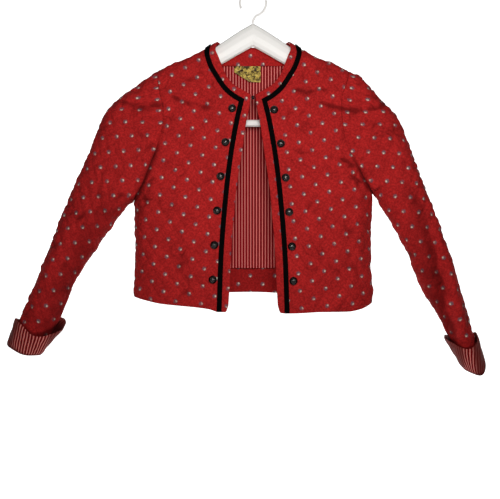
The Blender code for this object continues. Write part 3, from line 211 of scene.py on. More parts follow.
def read(rows, at, column=1):
    """A smooth value from a later column of a table, over its first column."""
    columns = list(rows.values())
    return smooth(at, columns[0], columns[column])


def quarter(w, power=2.0):
    """Height of a rounded edge, from 0 at w = 0 to 1 at w = 1 and beyond."""
    return (1 - (1 - np.clip(w, 0.0, 1.0)) ** power) ** (1 / power)


def ease(share):
    """A soft step from 0 to 1."""
    share = np.clip(share, 0, 1)
    return share * share * (3 - 2 * share)


def ridge(x):
    return read(RIDGE, np.abs(x))


def arc_along(x, y):
    """Distance along each row of points, from 0 at its first."""
    steps = np.hypot(np.diff(x), np.diff(y))
    return np.concatenate([np.zeros(steps.shape[:-1] + (1,)), np.cumsum(steps, axis=-1)], axis=-1)


DROPS = np.concatenate([np.linspace(0, 1, 60) ** 3 * SHOULDER_ROUND, [500.0]])
ALONG = arc_along(DROPS[:-1], SHOULDER_DEPTH * quarter(DROPS[:-1] / SHOULDER_ROUND))
ALONG = np.append(ALONG, ALONG[-1] + DROPS[-1] - SHOULDER_ROUND)
SHOULDER_EXTRA = ALONG[-1] - DROPS[-1]


def body_depth(x, z):
    """How far the body's outer face stands from the middle plane, without folds."""
    drop = ridge(x) - z
    depth = SHOULDER_DEPTH * quarter(drop / SHOULDER_ROUND) + read(BODY_DEPTH, drop)
    return depth * quarter((read(BODY_WIDTH, z) - np.abs(x)) / SIDE_ROUND, SIDE_POWER)


def line_heights(x, z, rows, end, start, bend=0.0, rough=0.0):
    """The height over a point of folds along lines, uneven along each where rough says so."""
    total = np.zeros(np.shape(x))
    for number, (x0, z0, x1, z1, width, height) in enumerate(zip(*rows.values())):
        length = math.hypot(x1 - x0, z1 - z0)
        along = ((x - x0) * (x1 - x0) + (z - z0) * (z1 - z0)) / length ** 2
        across = ((x - x0) * (z1 - z0) - (z - z0) * (x1 - x0)) / length
        across = across + bend * np.sin(along * 5.0 + number)
        ends = np.clip(np.minimum(along, 1 - along) / end + start, 0, 1)
        uneven = 1 - rough + rough * np.sin(along * 8.0 + number * 1.7)
        total += height * uneven * ends ** 2 * (3 - 2 * ends) * np.exp(-((across / width) ** 2))
    return total


def with_folds(x, z, depth, face):
    return depth + line_heights(x, z, FOLDS[face], 0.3, 0.35) * np.clip(depth / 12.0, 0, 1) ** 2


def side_arc(height):
    """Positions across the body from its middle to its side, and the arc to each, a row a height."""
    half = read(BODY_WIDTH, height)[:, None]
    depth = (SHOULDER_DEPTH + read(BODY_DEPTH, NECK_LEVEL - height))[:, None]
    x = half - SIDE_ROUND + SIDE_ROUND * np.sin(np.linspace(0, 1, 50)[None, :] * math.pi / 2)
    x = np.concatenate([np.zeros_like(half), x], axis=1)
    return x, arc_along(x, depth * quarter((half - x) / SIDE_ROUND, SIDE_POWER))


def rows_interp(at, xs, ys):
    return np.array([np.interp(a, row_x, row_y) for a, row_x, row_y in zip(at, xs, ys)])


def flat_of_body(x, z):
    """A point of the body, laid flat: arc across from the middle, and height."""
    x, z = np.atleast_1d(x).astype(float), np.atleast_1d(z).astype(float)
    height = ridge(x) + SHOULDER_EXTRA - np.interp(ridge(x) - z, DROPS, ALONG)
    across, arcs = side_arc(height)
    return np.stack([np.sign(x) * rows_interp(np.abs(x), across, arcs), height], axis=1)


def body_place(flat, face, folded=True):
    """Flat points of the body put back in their place, on its front or its back."""
    across, arcs = side_arc(flat[:, 1])
    x = np.sign(flat[:, 0]) * rows_interp(np.abs(flat[:, 0]), arcs, across)
    z = ridge(x) - np.interp(ridge(x) + SHOULDER_EXTRA - flat[:, 1], ALONG, DROPS)
    depth = body_depth(x, z)
    return np.stack([x, face * (with_folds(x, z, depth, face) if folded else depth), z], axis=1)


def front_place(flat):
    return body_place(flat, FRONT)


def plain_back(flat):
    """The back's smooth form, on which its inner layers hang."""
    return body_place(flat, BACK, folded=False)


def armhole_points(side, count):
    """Even points down the armhole seam, from the shoulder to under the arm."""
    rows = ARMHOLES[side]
    z = np.linspace(rows["z"].max(), rows["z"].min(), 400)
    x = read(rows, z)
    z[0] = ridge(x[0])
    arc = arc_along(x, z)
    at = np.linspace(0, arc[-1], count)
    return np.stack([side * np.interp(at, arc, x), np.interp(at, arc, z)], axis=1)


class Sleeve:
    """The form of one sleeve: its outline from the front, its depth, and where it meets the body."""

    def __init__(self, side):
        lean = SLEEVE_LEAN[side]
        self.side = side
        self.origin = np.array(SLEEVE_ORIGIN[side])
        self.axis = np.array([-side * math.sin(lean), math.cos(lean)])
        self.outward = np.array([side * math.cos(lean), math.sin(lean)])
        seam = armhole_points(side, 120)
        self.seam_t = (seam - self.origin) @ self.axis
        self.seam_p = (seam - self.origin) @ self.outward
        self.seam_depth = body_depth(seam[:, 0], seam[:, 1])
        self.top, self.under = self.seam_t[[0, -1]]

    def edges(self, t):
        """Across the sleeve: its outer edge, its inner edge or the armhole seam, and where it closes."""
        outer, closing = read(SLEEVE_OUTER[self.side], t), read(SLEEVE_INNER[self.side], t)
        seam = np.interp(t, self.seam_t[::-1], self.seam_p[::-1])
        inner = np.where(t > self.under, np.minimum(seam, outer - 0.01), closing)
        return outer, inner, closing

    def depth(self, t, p):
        outer, inner, closing = self.edges(t)
        most = read(SLEEVE_DEPTH[self.side], t)
        upper = np.clip((t - self.under + 60) / (self.top - self.under - 20), 0, 1)
        reach = (1 - upper) * np.clip(outer - closing, 0, 100) / 2 + upper * SHOULDER_ROUND
        raw, raw_inner = (
            most * quarter((outer - at) / reach) * quarter((at - closing) / reach) for at in (p, inner)
        )
        seam_depth = np.interp(t, self.seam_t[::-1], self.seam_depth[::-1])
        share = np.clip((outer - p) / np.maximum(outer - inner, 0.01), 0, 1)
        close = np.exp(-np.maximum(t - self.under, 0) / 22.0)
        return np.where(t > self.under, raw + (seam_depth - raw_inner) * share ** (1 + 5 * close), raw)

    def sections(self, t):
        """Places across the sleeve from its outer edge to its inner one, and the arc to each."""
        outer, inner, _ = self.edges(t)
        part = (1 - np.cos(np.linspace(0, math.pi, 60))) / 2
        p = outer[:, None] + (inner - outer)[:, None] * part[None, :]
        return p, arc_along(p, self.depth(np.repeat(t[:, None], 60, axis=1), p))

    def half_girth(self, t):
        """Arc from the outer edge to the inner edge or seam."""
        return self.sections(np.atleast_1d(np.asarray(t, float)))[1][:, -1]

    def at(self, t, p):
        """x and z of places along and across the sleeve."""
        return (self.origin + t[:, None] * self.axis + p[:, None] * self.outward).T

    def place(self, flat):
        """The sleeve laid flat, arc from its outer edge and height along it, put back in its place."""
        q, t = flat[:, 0], flat[:, 1]
        p, arcs = self.sections(t)
        p = rows_interp(np.abs(q), arcs, p)
        x, z = self.at(t, p)
        depth = self.depth(t, p)
        y = np.where(q >= 0, -with_folds(x, z, depth, FRONT), with_folds(x, z, depth, BACK))
        return np.stack([x, y - read(SLEEVE_FORWARD, t), z], axis=1)


SLEEVES = {side: Sleeve(side) for side in (RIGHT, LEFT)}


def normals_of(place, flat, inward=1.0):
    """Outward normals of a laid-flat surface once it is put in its place."""
    step = 0.4
    a = place(flat + [step, 0]) - place(flat - [step, 0])
    b = place(flat + [0, step]) - place(flat - [0, step])
    normal = np.cross(a, b) * inward
    return normal / np.maximum(np.linalg.norm(normal, axis=1, keepdims=True), 1e-9)


def lengths_along(points):
    """Distance along a polyline to each of its points."""
    return np.concatenate([[0.0], np.cumsum(np.linalg.norm(np.diff(points, axis=0), axis=1))])


def resample(points, step):
    """Even points along a polyline."""
    arc = lengths_along(points)
    at = np.linspace(0, arc[-1], max(2, int(round(arc[-1] / step)) + 1))
    return np.stack([np.interp(at, arc, column) for column in points.T], axis=1)


def curve_of(rows, step, first="x", second="z"):
    """Even points on a smooth curve through a table whose first named column rises or falls."""
    at = np.linspace(rows[first][0], rows[first][-1], 200)
    places = {first: at, second: smooth(at, rows[first], rows[second])}
    return resample(np.stack([places["x"], places["z"]], axis=1), step)


def path_of(rows, step):
    """Even points on a smooth curve through a table's points, whichever way they turn."""
    points = np.stack([rows["x"], rows["z"]], axis=1)
    arc = lengths_along(points)
    at = np.linspace(0, arc[-1], 200)
    return resample(np.stack([smooth(at, arc, column) for column in points.T], axis=1), step)


def laid(line, side=1.0):
    """A line on the body's left half, or its mirror image on the right half, laid flat."""
    return flat_of_body(side * line[:, 0], line[:, 1])


def mitres(before, after):
    """Where two edges meet: the sum of their unit normals, and its share of the first normal."""
    before, after = (way / np.linalg.norm(way, axis=1, keepdims=True) for way in (before, after))
    normal_a, normal_b = (np.stack([-way[:, 1], way[:, 0]], axis=1) for way in (before, after))
    mitre = normal_a + normal_b
    return mitre, np.sum(mitre * normal_a, axis=1, keepdims=True)


def doubled_area(loop):
    after = np.roll(loop, -1, axis=0)
    return np.sum(loop[:, 0] * after[:, 1] - after[:, 0] * loop[:, 1])


def inset(loop, amount):
    """A closed flat outline moved inwards."""
    turn = 1.0 if doubled_area(loop) > 0 else -1.0
    mitre, share = mitres(loop - np.roll(loop, 1, axis=0), np.roll(loop, -1, axis=0) - loop)
    return loop + turn * mitre / np.maximum(share, 0.5) * amount


def offset_line(line, amount):
    """An open flat line moved sideways, mitred at its corners."""
    steps = np.diff(line, axis=0)
    mitre, share = mitres(np.concatenate([steps[:1], steps]), np.concatenate([steps, steps[-1:]]))
    return line + mitre / share * amount


def inside(points, loop):
    """Which points lie inside a closed outline."""
    x, y = points[:, 0:1], points[:, 1:2]
    ax, ay = loop.T[:, None]
    bx, by = np.roll(loop, -1, axis=0).T[:, None]
    at = ax + (y - ay) * (bx - ax) / np.where(by == ay, 1.0, by - ay)
    return np.sum(((ay > y) != (by > y)) & (x < at), axis=1) % 2 == 1


def braid_flat(side):
    """The braid's middle line on a front, laid flat, with its mitred corner kept sharp."""
    neck, edge = (
        laid(path_of({key: values[part] for key, values in BRAID_PATH.items()}, PATH_POINT), side)
        for part in (slice(BRAID_CORNER + 1), slice(BRAID_CORNER, None))
    )
    top = np.array([[neck[0, 0], ridge(BRAID_PATH["x"][0]) + SHOULDER_EXTRA - SEAM_GAP / 2]])
    over = resample(np.concatenate([top, neck[1:2]]), 6.0)
    bottom = read(HEMS[side], abs(edge[-1, 0])) + 0.4
    edge = edge[edge[:, 1] > bottom + 4.0]
    last = edge[-1] + (edge[-1] - edge[-2]) * (bottom - edge[-1, 1]) / (edge[-1, 1] - edge[-2, 1])
    return np.concatenate([over, neck[2:], edge[1:], [last]])


def neck_braid_flat():
    """The braid's middle line round the back neck, laid flat, from shoulder seam to shoulder seam."""
    start = BRAID_PATH["x"][0]
    level = ridge(start) + SHOULDER_EXTRA - SEAM_GAP / 2
    rows = table("x z", (start, level), (start - 3, level - 14), (50, -93.5), (30, -97), (0, -98))
    half = path_of(rows, PATH_POINT)
    return np.concatenate([half * [-1, 1], half[::-1][1:]])


def button_places(side):
    """Where the buttons sit on a front: x and z of each."""
    z = BUTTON_TOPS[side > 0] - BUTTON_STEP * np.arange(BUTTON_COUNT)
    x = smooth(z, BRAID_PATH["z"][BRAID_CORNER:], BRAID_PATH["x"][BRAID_CORNER:]) + BUTTON_FROM_BRAID
    return np.stack([side * x, z], axis=1)


def round_values(values, angle):
    """A smooth value round a cuff from its values outside, in front, inside and behind."""
    outer, front, inner, back = values
    return (
        (outer + front + inner + back) / 4
        + (outer - inner) / 2 * np.cos(angle)
        + (front - back) / 2 * np.sin(angle)
        + (outer + inner - front - back) / 4 * np.cos(2 * angle)
    )


def cuff_rim(side, angle):
    """How high a cuff's rim reaches up the sleeve at an angle round it."""
    return round_values(CUFF_RIM[side], angle) + CUFF_RIM_TWIST[side] * np.sin(2 * angle)


def lining_ripple(flat):
    """Soft vertical folds of the loose lining, held flat at its top seam."""
    bells = zip(*LINING_FOLDS.values())
    total = sum(height * np.exp(-(((flat[:, 0] - x) / width) ** 2)) for x, width, height in bells)
    from_top, from_hem = -112.0 - flat[:, 1], flat[:, 1] + 417.0
    return total * np.clip(from_top / 80.0, 0, 1) * np.clip(from_hem / 50.0, 0.25, 1)


GRID = 2.0
INNER_GRID = 3 * GRID
EDGE_POINT = 2.2
BORDER_POINT = 0.5
RIM = WALL / 2
RINGS = (0.3, 0.75, 1.4)
SEAM_BLEND = 9.0
LINING_GRID = 3.0
PRINT_UNIT = 100.0

# Smaller creases than the solids have: a line, its width, and a height that is negative in a trough.
CREASES = {
    FRONT: table(
        "x0 z0 x1 z1 width height",
        (-128, -160, -84, -176, 3.5, -2.6), (-104, -169, -54, -179, 3.5, -2.2),
        (-122, -154, -60, -168, 5, 1.6), (-112, -131, -76, -136, 3.5, -1.5),
        (-206, -164, -152, -183, 4.5, -2.6), (-176, -181, -128, -172, 4.5, -2.8),
        (-204, -156, -150, -172, 6, 1.6), (-166, -190, -142, -182, 3, 1.4),
        (-158, -196, -140, -190, 2.5, -1.6), (-186, -206, -150, -226, 4, -1.3),
        (56, -146, 82, -158, 3.5, -2.4), (70, -157, 118, -149, 3.5, -2.6), (56, -141, 118, -142, 6, 1.8),
        (80, -163, 126, -178, 3.5, -2.0), (106, -173, 160, -184, 3.5, -2.8),
        (138, -182, 186, -180, 5, -3.0), (166, -183, 208, -166, 4.5, -2.2), (92, -160, 150, -172, 5, 1.6),
        (150, -172, 196, -168, 6, 1.5), (150, -192, 200, -190, 6, 1.3), (168, -228, 208, -212, 4, -1.6),
        (186, -216, 230, -204, 4, -1.2), (126, -251, 156, -267, 2.5, -2.6),
        (104, -246, 150, -262, 3.5, -1.8), (126, -267, 158, -266, 3, -2.2),
        (136, -276, 166, -291, 2.5, -1.8), (118, -258, 150, -272, 4, 1.6), (100, -236, 146, -252, 5, 1.4),
        (-168, -246, -140, -226, 3, -1.4), (-182, -262, -146, -236, 4, 1.2),
        (-218, -268, -238, -326, 3.5, -1.9), (-236, -314, -262, -352, 3.5, -2.4),
        (-247, -336, -258, -374, 3, -2.4), (-226, -300, -244, -352, 4, 1.5),
        (-206, -262, -236, -340, 4, -1.3), (-232, -300, -270, -400, 5, 1.2),
        (-184, -300, -214, -322, 4, -1.8), (-196, -322, -226, -352, 4, -1.5),
        (-250, -352, -290, -440, 5, -1.2), (-212, -356, -244, -420, 4, 1.1),
        (-146, -262, -162, -350, 5, -1.4), (-138, -300, -150, -420, 6, 1.3),
        (-100, -330, -112, -450, 7, -1.1), (-76, -250, -84, -400, 7, 0.8), (70, -240, 80, -390, 7, 0.8),
        (104, -320, 98, -440, 6, -1.1), (146, -320, 138, -440, 6, -1.3), (160, -340, 158, -440, 5, 1.1),
        (288, -340, 303, -430, 4, -2.0), (270, -330, 286, -420, 4, -1.4), (300, -430, 324, -520, 4, -1.6),
        (246, -270, 272, -340, 4, -1.2), (222, -236, 250, -300, 5, 1.2), (262, -300, 280, -370, 4, 1.2),
    ),
    BACK: table(
        "x0 z0 x1 z1 width height",
        (-190, -166, -120, -150, 5, -1.5), (66, -150, 140, -158, 5, -1.5), (-70, -140, 10, -146, 6, -1.0),
        (10, -158, 84, -150, 6, 1.0), (126, -256, 170, -280, 4, -1.2), (-172, -276, -128, -250, 4, -1.2),
        (-110, -250, -126, -400, 6, -1.3), (-70, -280, -82, -440, 7, 1.1), (-36, -270, -30, -430, 7, -1.0),
        (20, -270, 28, -430, 7, 1.0), (72, -270, 82, -420, 6, -1.2), (116, -280, 130, -440, 6, 1.2),
        (140, -310, 150, -440, 5, -1.0), (-150, -310, -156, -440, 5, 1.0), (236, -270, 286, -400, 5, -1.5),
        (266, -330, 300, -440, 5, 1.2), (286, -430, 320, -530, 4, -1.4), (-210, -280, -258, -400, 5, -1.5),
        (-240, -300, -286, -430, 5, 1.2), (-268, -400, -310, -500, 4, -1.2),
    ),
}


# The height at which each sleeve starts to hang over the body, and how wide the painted shade in the crease
# beside it is.
OVERHANGS = {RIGHT: (-222.0, 11.0), LEFT: (-240.0, 8.0)}

# The long fold down each sleeve: its bright edge, how much painted shade lies beside it, and how wide.
SLEEVE_FLANKS = {
    RIGHT: table(
        "z x depth width",
        (-300, -196, 0.1, 20), (-322, -214, 0.35, 24), (-345, -232, 0.4, 24), (-372, -246, 0.5, 24),
        (-400, -256, 0.6, 28), (-440, -270, 0.75, 32), (-500, -292, 0.7, 32),
    ),
    LEFT: table(
        "z x depth width",
        (-276, 217, 0.05, 8), (-304, 237, 0.3, 12), (-343, 255, 0.5, 18), (-385, 265, 0.7, 24),
        (-422, 275, 0.8, 30), (-474, 284, 0.8, 28), (-530, 303, 0.75, 24),
    ),
}


def creases(x, z, face):
    return line_heights(x, z, CREASES[face], 0.35, 0.0, bend=1.5, rough=0.25)


def ripples(x, z, size, seed):
    """Uneven shallow waves of about one size, between about -1 and 1."""
    chance = np.random.default_rng(seed)
    total = np.zeros(np.shape(x))
    for angle, phase, share, bend in zip(*chance.uniform(0, 1, (4, 7))):
        turn = angle * math.pi
        across = (x * math.cos(turn) + z * math.sin(turn)) / (size * (0.7 + 0.9 * share))
        along = (z * math.cos(turn) - x * math.sin(turn)) / (size * 2.3)
        total += np.sin(2 * math.pi * across + 6.3 * phase + 2.5 * bend * np.sin(2 * math.pi * along))
    return total / 3.2


def near_tree(points):
    """A search tree over some points, flat or in space."""
    tree = KDTree(len(points))
    for k, point in enumerate(points):
        tree.insert((*point, 0.0)[:3], k)
    tree.balance()
    return tree


def nearest(tree, points):
    return np.array([tree.find((a, b, 0.0))[2] for a, b in points])


def beside(line, points):
    """How far flat points lie from a line."""
    return nearest(near_tree(line), points)


def fill_outline(loop, spacing, rings):
    """Flat points inside an outline: rings close beside it, then staggered rows."""
    border = near_tree(resample(np.concatenate([loop, loop[:1]]), BORDER_POINT))
    found = [loop]
    for depth in rings:
        ring = inset(loop, depth)
        found.append(ring[nearest(border, ring) > depth * 0.85])
    ends = np.roll(loop, -1, axis=0)
    low, high = loop.min(axis=0), loop.max(axis=0)
    for number, level in enumerate(np.arange(low[1], high[1], spacing * 0.87)):
        cut = (loop[:, 1] > level) != (ends[:, 1] > level)
        a, b = loop[cut], ends[cut]
        walls = np.sort(a[:, 0] + (level - a[:, 1]) * (b[:, 0] - a[:, 0]) / (b[:, 1] - a[:, 1]))
        across = np.arange(low[0] + spacing * 0.5 * (number % 2), high[0], spacing)
        across = across[np.searchsorted(walls, across) % 2 == 1]
        row = np.stack([across, np.full(len(across), level)], axis=1)
        if len(row):
            found.append(row[nearest(border, row) > rings[-1] + spacing * 0.45])
    points = np.concatenate(found)
    return points, nearest(border, points)


def triangles_of(points, corners):
    """Triangles inside the outline, which is the first corners, through every point."""
    found = delaunay_2d_cdt([Vector(p) for p in points], [], [list(range(corners))], 1, 1e-6, True)
    names = np.array([ids[0] for ids in found[3]])
    faces = names[np.array(found[2])]
    doubtful = np.all(faces < corners, axis=1)
    middles = points[faces[doubtful]].mean(axis=1)
    keep = np.ones(len(faces), bool)
    keep[doubtful] = inside(middles, points[:corners])
    return faces[keep]


def edge_drop(depth):
    """How far the skin falls back at a rounded edge."""
    share = 1 - np.clip(depth / RIM, 0, 1)
    return RIM * (1 - np.sqrt(np.maximum(1 - share ** 2, 0)))


class Cut:
    """One piece of cloth: its flat outline, its place in the jacket and the quilting on it."""

    def __init__(self, name, loop, place, inward, lean=0.0):
        self.name, self.loop, self.place, self.inward, self.lean = name, loop, place, inward, lean
        self.outer, self.outer_depth = fill_outline(loop, GRID, RINGS)
        self.inner, self.inner_depth = fill_outline(loop, INNER_GRID, RINGS[1:])
        self.base = place(self.outer)
        self.normal = normals_of(place, self.outer, inward)
        rim = self.normal[: len(loop)]
        rim[np.linalg.norm(rim, axis=1) < 0.5] = (0.0, 0.0, 1.0)

    @property
    def side(self):
        return RIGHT if self.name.endswith("right") else LEFT

    def quilt(self, flat):
        """Places in the diamond quilting: whole numbers lie on the stitched lines."""
        off = flat - (self.loop.min(axis=0) + self.loop.max(axis=0)) / 2
        c, s = math.cos(self.lean), math.sin(self.lean)
        x, y = off[:, 0] * c + off[:, 1] * s, off[:, 1] * c - off[:, 0] * s
        return x / QUILT_WIDTH + y / QUILT_HEIGHT, x / QUILT_WIDTH - y / QUILT_HEIGHT


def share_normals(cuts):
    """Gives edges that are sewn together one normal, and bends the cloth beside them to it."""
    points = np.concatenate([cut.base[: len(cut.loop)] for cut in cuts])
    normals = np.concatenate([cut.normal[: len(cut.loop)] for cut in cuts])
    tree = near_tree(points)
    shared = np.array([normals[[k for _, k, _ in tree.find_range(p, 0.5)]].sum(axis=0) for p in points])
    lengths = np.linalg.norm(shared, axis=1, keepdims=True)
    shared = np.where(lengths > 0.2, shared / np.maximum(lengths, 0.2), normals)
    start = 0
    for cut in cuts:
        own = shared[start : start + len(cut.loop)]
        start += len(cut.loop)
        border = near_tree(cut.loop)
        for k in np.nonzero(cut.outer_depth < SEAM_BLEND)[0]:
            near = border.find((*cut.outer[k], 0.0))[1]
            share = ease(1 - cut.outer_depth[k] / SEAM_BLEND)
            mixed = cut.normal[k] * (1 - share) + own[near] * share
            cut.normal[k] = mixed / max(np.linalg.norm(mixed), 1e-6)


def uv_layer(mesh, name, places):
    """A map from places, two numbers a corner."""
    mesh.uv_layers.new(name=name).data.foreach_set("uv", np.asarray(places, float).ravel())


def uv_map(mesh, name, places):
    """A map from vertex places, two numbers a vertex."""
    corner = np.zeros(len(mesh.loops), np.int32)
    mesh.loops.foreach_get("vertex_index", corner)
    uv_layer(mesh, name, np.asarray(places, float)[corner])


def new_mesh(name, points, faces, *looks):
    mesh = bpy.data.meshes.new(name)
    mesh.from_pydata((np.asarray(points) * MM).tolist(), [], [list(map(int, face)) for face in faces])
    mesh.shade_smooth()
    for look in looks:
        mesh.materials.append(LOOKS[look])
    return mesh


def new_piece(name, mesh, slot, *nodes):
    obj = bpy.data.objects.new(name, mesh)
    bpy.context.scene.collection.objects.link(obj)
    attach(obj, "root")
    if nodes:
        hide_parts(*nodes)
    return obj


def ring_faces(rings, count, closed=False, flipped=False):
    """Quads between rings of points, and from the last ring to the first if closed."""
    faces = []
    for ring in range(rings if closed else rings - 1):
        here, up = ring * count, (ring + 1) % rings * count
        for k in range(count):
            n = (k + 1) % count
            quad = (here + k, up + k, up + n, here + n)
            faces.append(quad[:1] + quad[:0:-1] if flipped else quad)
    return faces


def cloth_piece(cut, heights, painted_shade, print_places, looks):
    """The closed shell of one cut of cloth: quilted outside, plain inside, rounded at its edge."""
    corners = len(cut.loop)
    lift = heights - edge_drop(cut.outer_depth)
    lift[:corners] = -RIM
    outer = cut.base + cut.normal * lift[:, None]
    inner_normal = normals_of(cut.place, cut.inner, cut.inward)
    inner_normal[:corners] = cut.normal[:corners]
    inner = cut.place(cut.inner) - inner_normal * (WALL - edge_drop(cut.inner_depth))[:, None]
    outside = triangles_of(cut.outer, corners)
    within = triangles_of(cut.inner, corners)
    within = np.where(within >= corners, within + len(outer) - corners, within)[:, ::-1]
    if cut.inward < 0:
        outside, within = outside[:, ::-1], within[:, ::-1]
    points, faces = np.concatenate([outer, inner[corners:]]), np.concatenate([outside, within])
    mesh = new_mesh(cut.name, points, faces, *looks)
    flat = np.concatenate([cut.outer, cut.inner[corners:]])
    uv_map(mesh, "print", print_places(flat) / PRINT_UNIT)
    uv_map(mesh, "quilt", np.stack(cut.quilt(flat), axis=1))
    # The painted shade goes on the outer skin only, in a map of its own.
    shade = np.concatenate([painted_shade, np.zeros(len(cut.inner) - corners)])
    uv_map(mesh, "painted_shade", np.stack([shade, shade], axis=1))
    mesh.polygons.foreach_set("material_index", np.repeat(np.int32([0, 1]), (len(outside), len(within))))
    obj = new_piece("cloth_" + cut.name, mesh, "cloth", cut.name)
    width, length = (cut.loop.max(axis=0) - cut.loop.min(axis=0)) * MM
    area = min(abs(doubled_area(cut.loop)) / 2 * MM * MM, width * length)


ARM_COUNT = 110
SHOULDER_COUNT = 50
SIDE_COUNT = 90
CUFF_END_COUNT = 110
UNDER_COUNT = 150


def closed_loop(*parts):
    """An outline from lines that each begin where the last one ends."""
    return np.concatenate([part[:-1] for part in parts])


def side_seam(side, start, end):
    """The body's side seam between two heights, laid flat."""
    z = np.linspace(start, end, SIDE_COUNT)
    return flat_of_body(side * read(BODY_WIDTH, z), z)


def front_loop(side):
    """The outline of one front, laid flat."""
    hem = curve_of(HEMS[side], EDGE_POINT)
    seam = armhole_points(side, ARM_COUNT)
    top_x = np.linspace(abs(seam[0, 0]), NECK_FRONT["x"][0], SHOULDER_COUNT)
    return closed_loop(
        flat_of_body(side * top_x, ridge(top_x)),
        laid(curve_of(NECK_FRONT, EDGE_POINT, "z", "x"), side),
        laid(curve_of(FRONT_EDGE, EDGE_POINT, "z", "x"), side),
        laid(hem, side),
        side_seam(side, hem[-1, 1], seam[-1, 1]),
        laid(seam[::-1]),
    )


def back_loop():
    """The outline of the back, laid flat."""
    right, left = (armhole_points(side, ARM_COUNT) for side in (RIGHT, LEFT))
    half = curve_of(NECK_BACK, EDGE_POINT)
    hem = curve_of(BACK_HEM, EDGE_POINT)
    top_x = np.linspace(NECK_BACK["x"][0], abs(left[0, 0]), SHOULDER_COUNT)
    return closed_loop(
        laid(np.concatenate([half[:-1] * [-1, 1], half[::-1]])),
        flat_of_body(top_x, ridge(top_x)),
        laid(left),
        side_seam(LEFT, left[-1, 1], hem[-1, 1]),
        laid(hem[::-1]),
        side_seam(RIGHT, right[-1, 1], hem[0, 1])[::-1],
        laid(right[::-1]),
        flat_of_body(-top_x[::-1], ridge(top_x[::-1])),
    )


def sleeve_loop(form):
    """The outline of one sleeve, laid flat from its seam under the arm."""
    t = (armhole_points(form.side, ARM_COUNT) - form.origin) @ form.axis
    seam = np.stack([form.half_girth(t), t], axis=1)
    share = np.linspace(-1, 1, CUFF_END_COUNT)
    fold = round_values(CUFF_FOLD[form.side], share * math.pi) + CUFF_THICK + CUFF_FLOOR
    end = np.stack([share * form.half_girth(fold), fold], axis=1)
    levels = np.linspace(end[-1, 1], form.under, UNDER_COUNT)
    under = np.stack([form.half_girth(levels), levels], axis=1)
    return closed_loop(end, under, seam[::-1], seam * [-1, 1], under[::-1] * [-1, 1])


def puffs(cut):
    """The quilting's height over each point: a soft cushion in every diamond."""
    s, t = cut.quilt(cut.outer)
    cushion = np.sqrt(np.abs(np.sin(math.pi * s) * np.sin(math.pi * t)))
    return QUILT_RISE * cushion * ease(cut.outer_depth / 6.0)


def pressed(cut, line, spots):
    """How free the cloth is beside a ribbon and round some buttons: 0 where they press it flat."""
    free = ease((beside(resample(line, 0.7), cut.outer) - BRAID_WIDTH / 2 - 0.4) / 5.0)
    if len(spots):
        free = free * ease((beside(spots, cut.outer) - 6.5) / 8.0)
    return free * ease((beside(line[[0, -1]], cut.outer) - 5.0) / 9.0)


def make_cloth():
    """The five cuts, each with the heights of its cloth and the painted shade in its folds and creases."""
    cuts = [
        Cut("front_" + SIDES[side], front_loop(side), front_place, 1.0, side * FRONT_LEAN) for side in SIDES
    ]
    cuts.append(Cut("back", back_loop(), lambda f: body_place(f, BACK), -1.0))
    cuts += [
        Cut("sleeve_" + SIDES[side], sleeve_loop(form), form.place, -side) for side, form in SLEEVES.items()
    ]
    share_normals(cuts)

    made = []
    for number, cut in enumerate(cuts):
        x, _, z = cut.base.T
        if cut.name == "back":
            free, fine = pressed(cut, neck_braid_flat(), []), creases(x, z, BACK)
        elif cut.name.startswith("front"):
            free = pressed(cut, braid_flat(cut.side), laid(button_places(cut.side)))
            fine = creases(x, z, FRONT) + front_edge_pucker(cut)
        else:
            free = 1.0
            front, back = (creases(x, z, face) for face in (FRONT, BACK))
            fine = np.where(cut.outer[:, 0] >= 0, front, back) + head_pucker(cut)
        soft = 0.6 * ripples(x, z, 34.0, number) + 0.4 * ripples(x, z, 13.0, 10 + number)
        patches = ease(0.35 + 0.8 * ripples(x, z, 70.0, 40 + number))
        fine = fine - 1.3 * patches * np.exp(-((ripples(x, z, 30.0, 50 + number) / 0.17) ** 2))
        over, shade = overhang(cut)
        heights = (puffs(cut) + fine + soft + over) * free * ease(cut.outer_depth / 5.0)
        # Painted shade: darker colour in the troughs of creases and ripples, beside the overhangs and, on
        # the sleeves, in the long folds and above the cuffs.
        painted_shade = np.maximum(ease(-(fine + 0.7 * soft) / 2.6) * 0.75, shade) * np.maximum(free, 0.2)
        if cut.name.startswith("sleeve"):
            painted_shade = np.maximum(painted_shade, flank(cut, x, z))
        made.append((cut, np.maximum(heights, -1.0), painted_shade))
    return made


def flank(cut, x, z):
    """How much painted shade falls inside the long fold down the front of a sleeve, and in the gap above
    its cuff.
    """
    side = cut.side
    rows = SLEEVE_FLANKS[side]
    edge, depth, width = (read(rows, z, column) for column in (1, 2, 3))
    within = side * (edge - x) * math.cos(SLEEVE_LEAN[side]) + 2.0 * np.sin(z * 0.11)
    if side == LEFT:
        share = np.where(within > 0, np.exp(-((within / width) ** 2)), ease(1 + within / 5.0))
    else:
        share = ease(1 + within / width)
    uneven = 0.85 + 0.15 * np.sin(z * 0.19 + x * 0.05)
    ends = ease((rows["z"].max() + 12 - z) / 30.0)
    long_fold = np.where(cut.outer[:, 0] >= 0, depth * share * uneven * ends, 0.0)
    turn = cut.outer[:, 0] / SLEEVES[side].half_girth(cut.outer[:, 1]) * math.pi
    inner_side = ease((np.abs(turn) / math.pi - 0.55) / 0.3)
    above = cut.outer[:, 1] - cuff_rim(side, turn)
    beside_cuff = (0.75 + 0.22 * inner_side) * ease(1 - above / (3.5 + 6.5 * inner_side))
    return np.maximum(long_fold, beside_cuff)


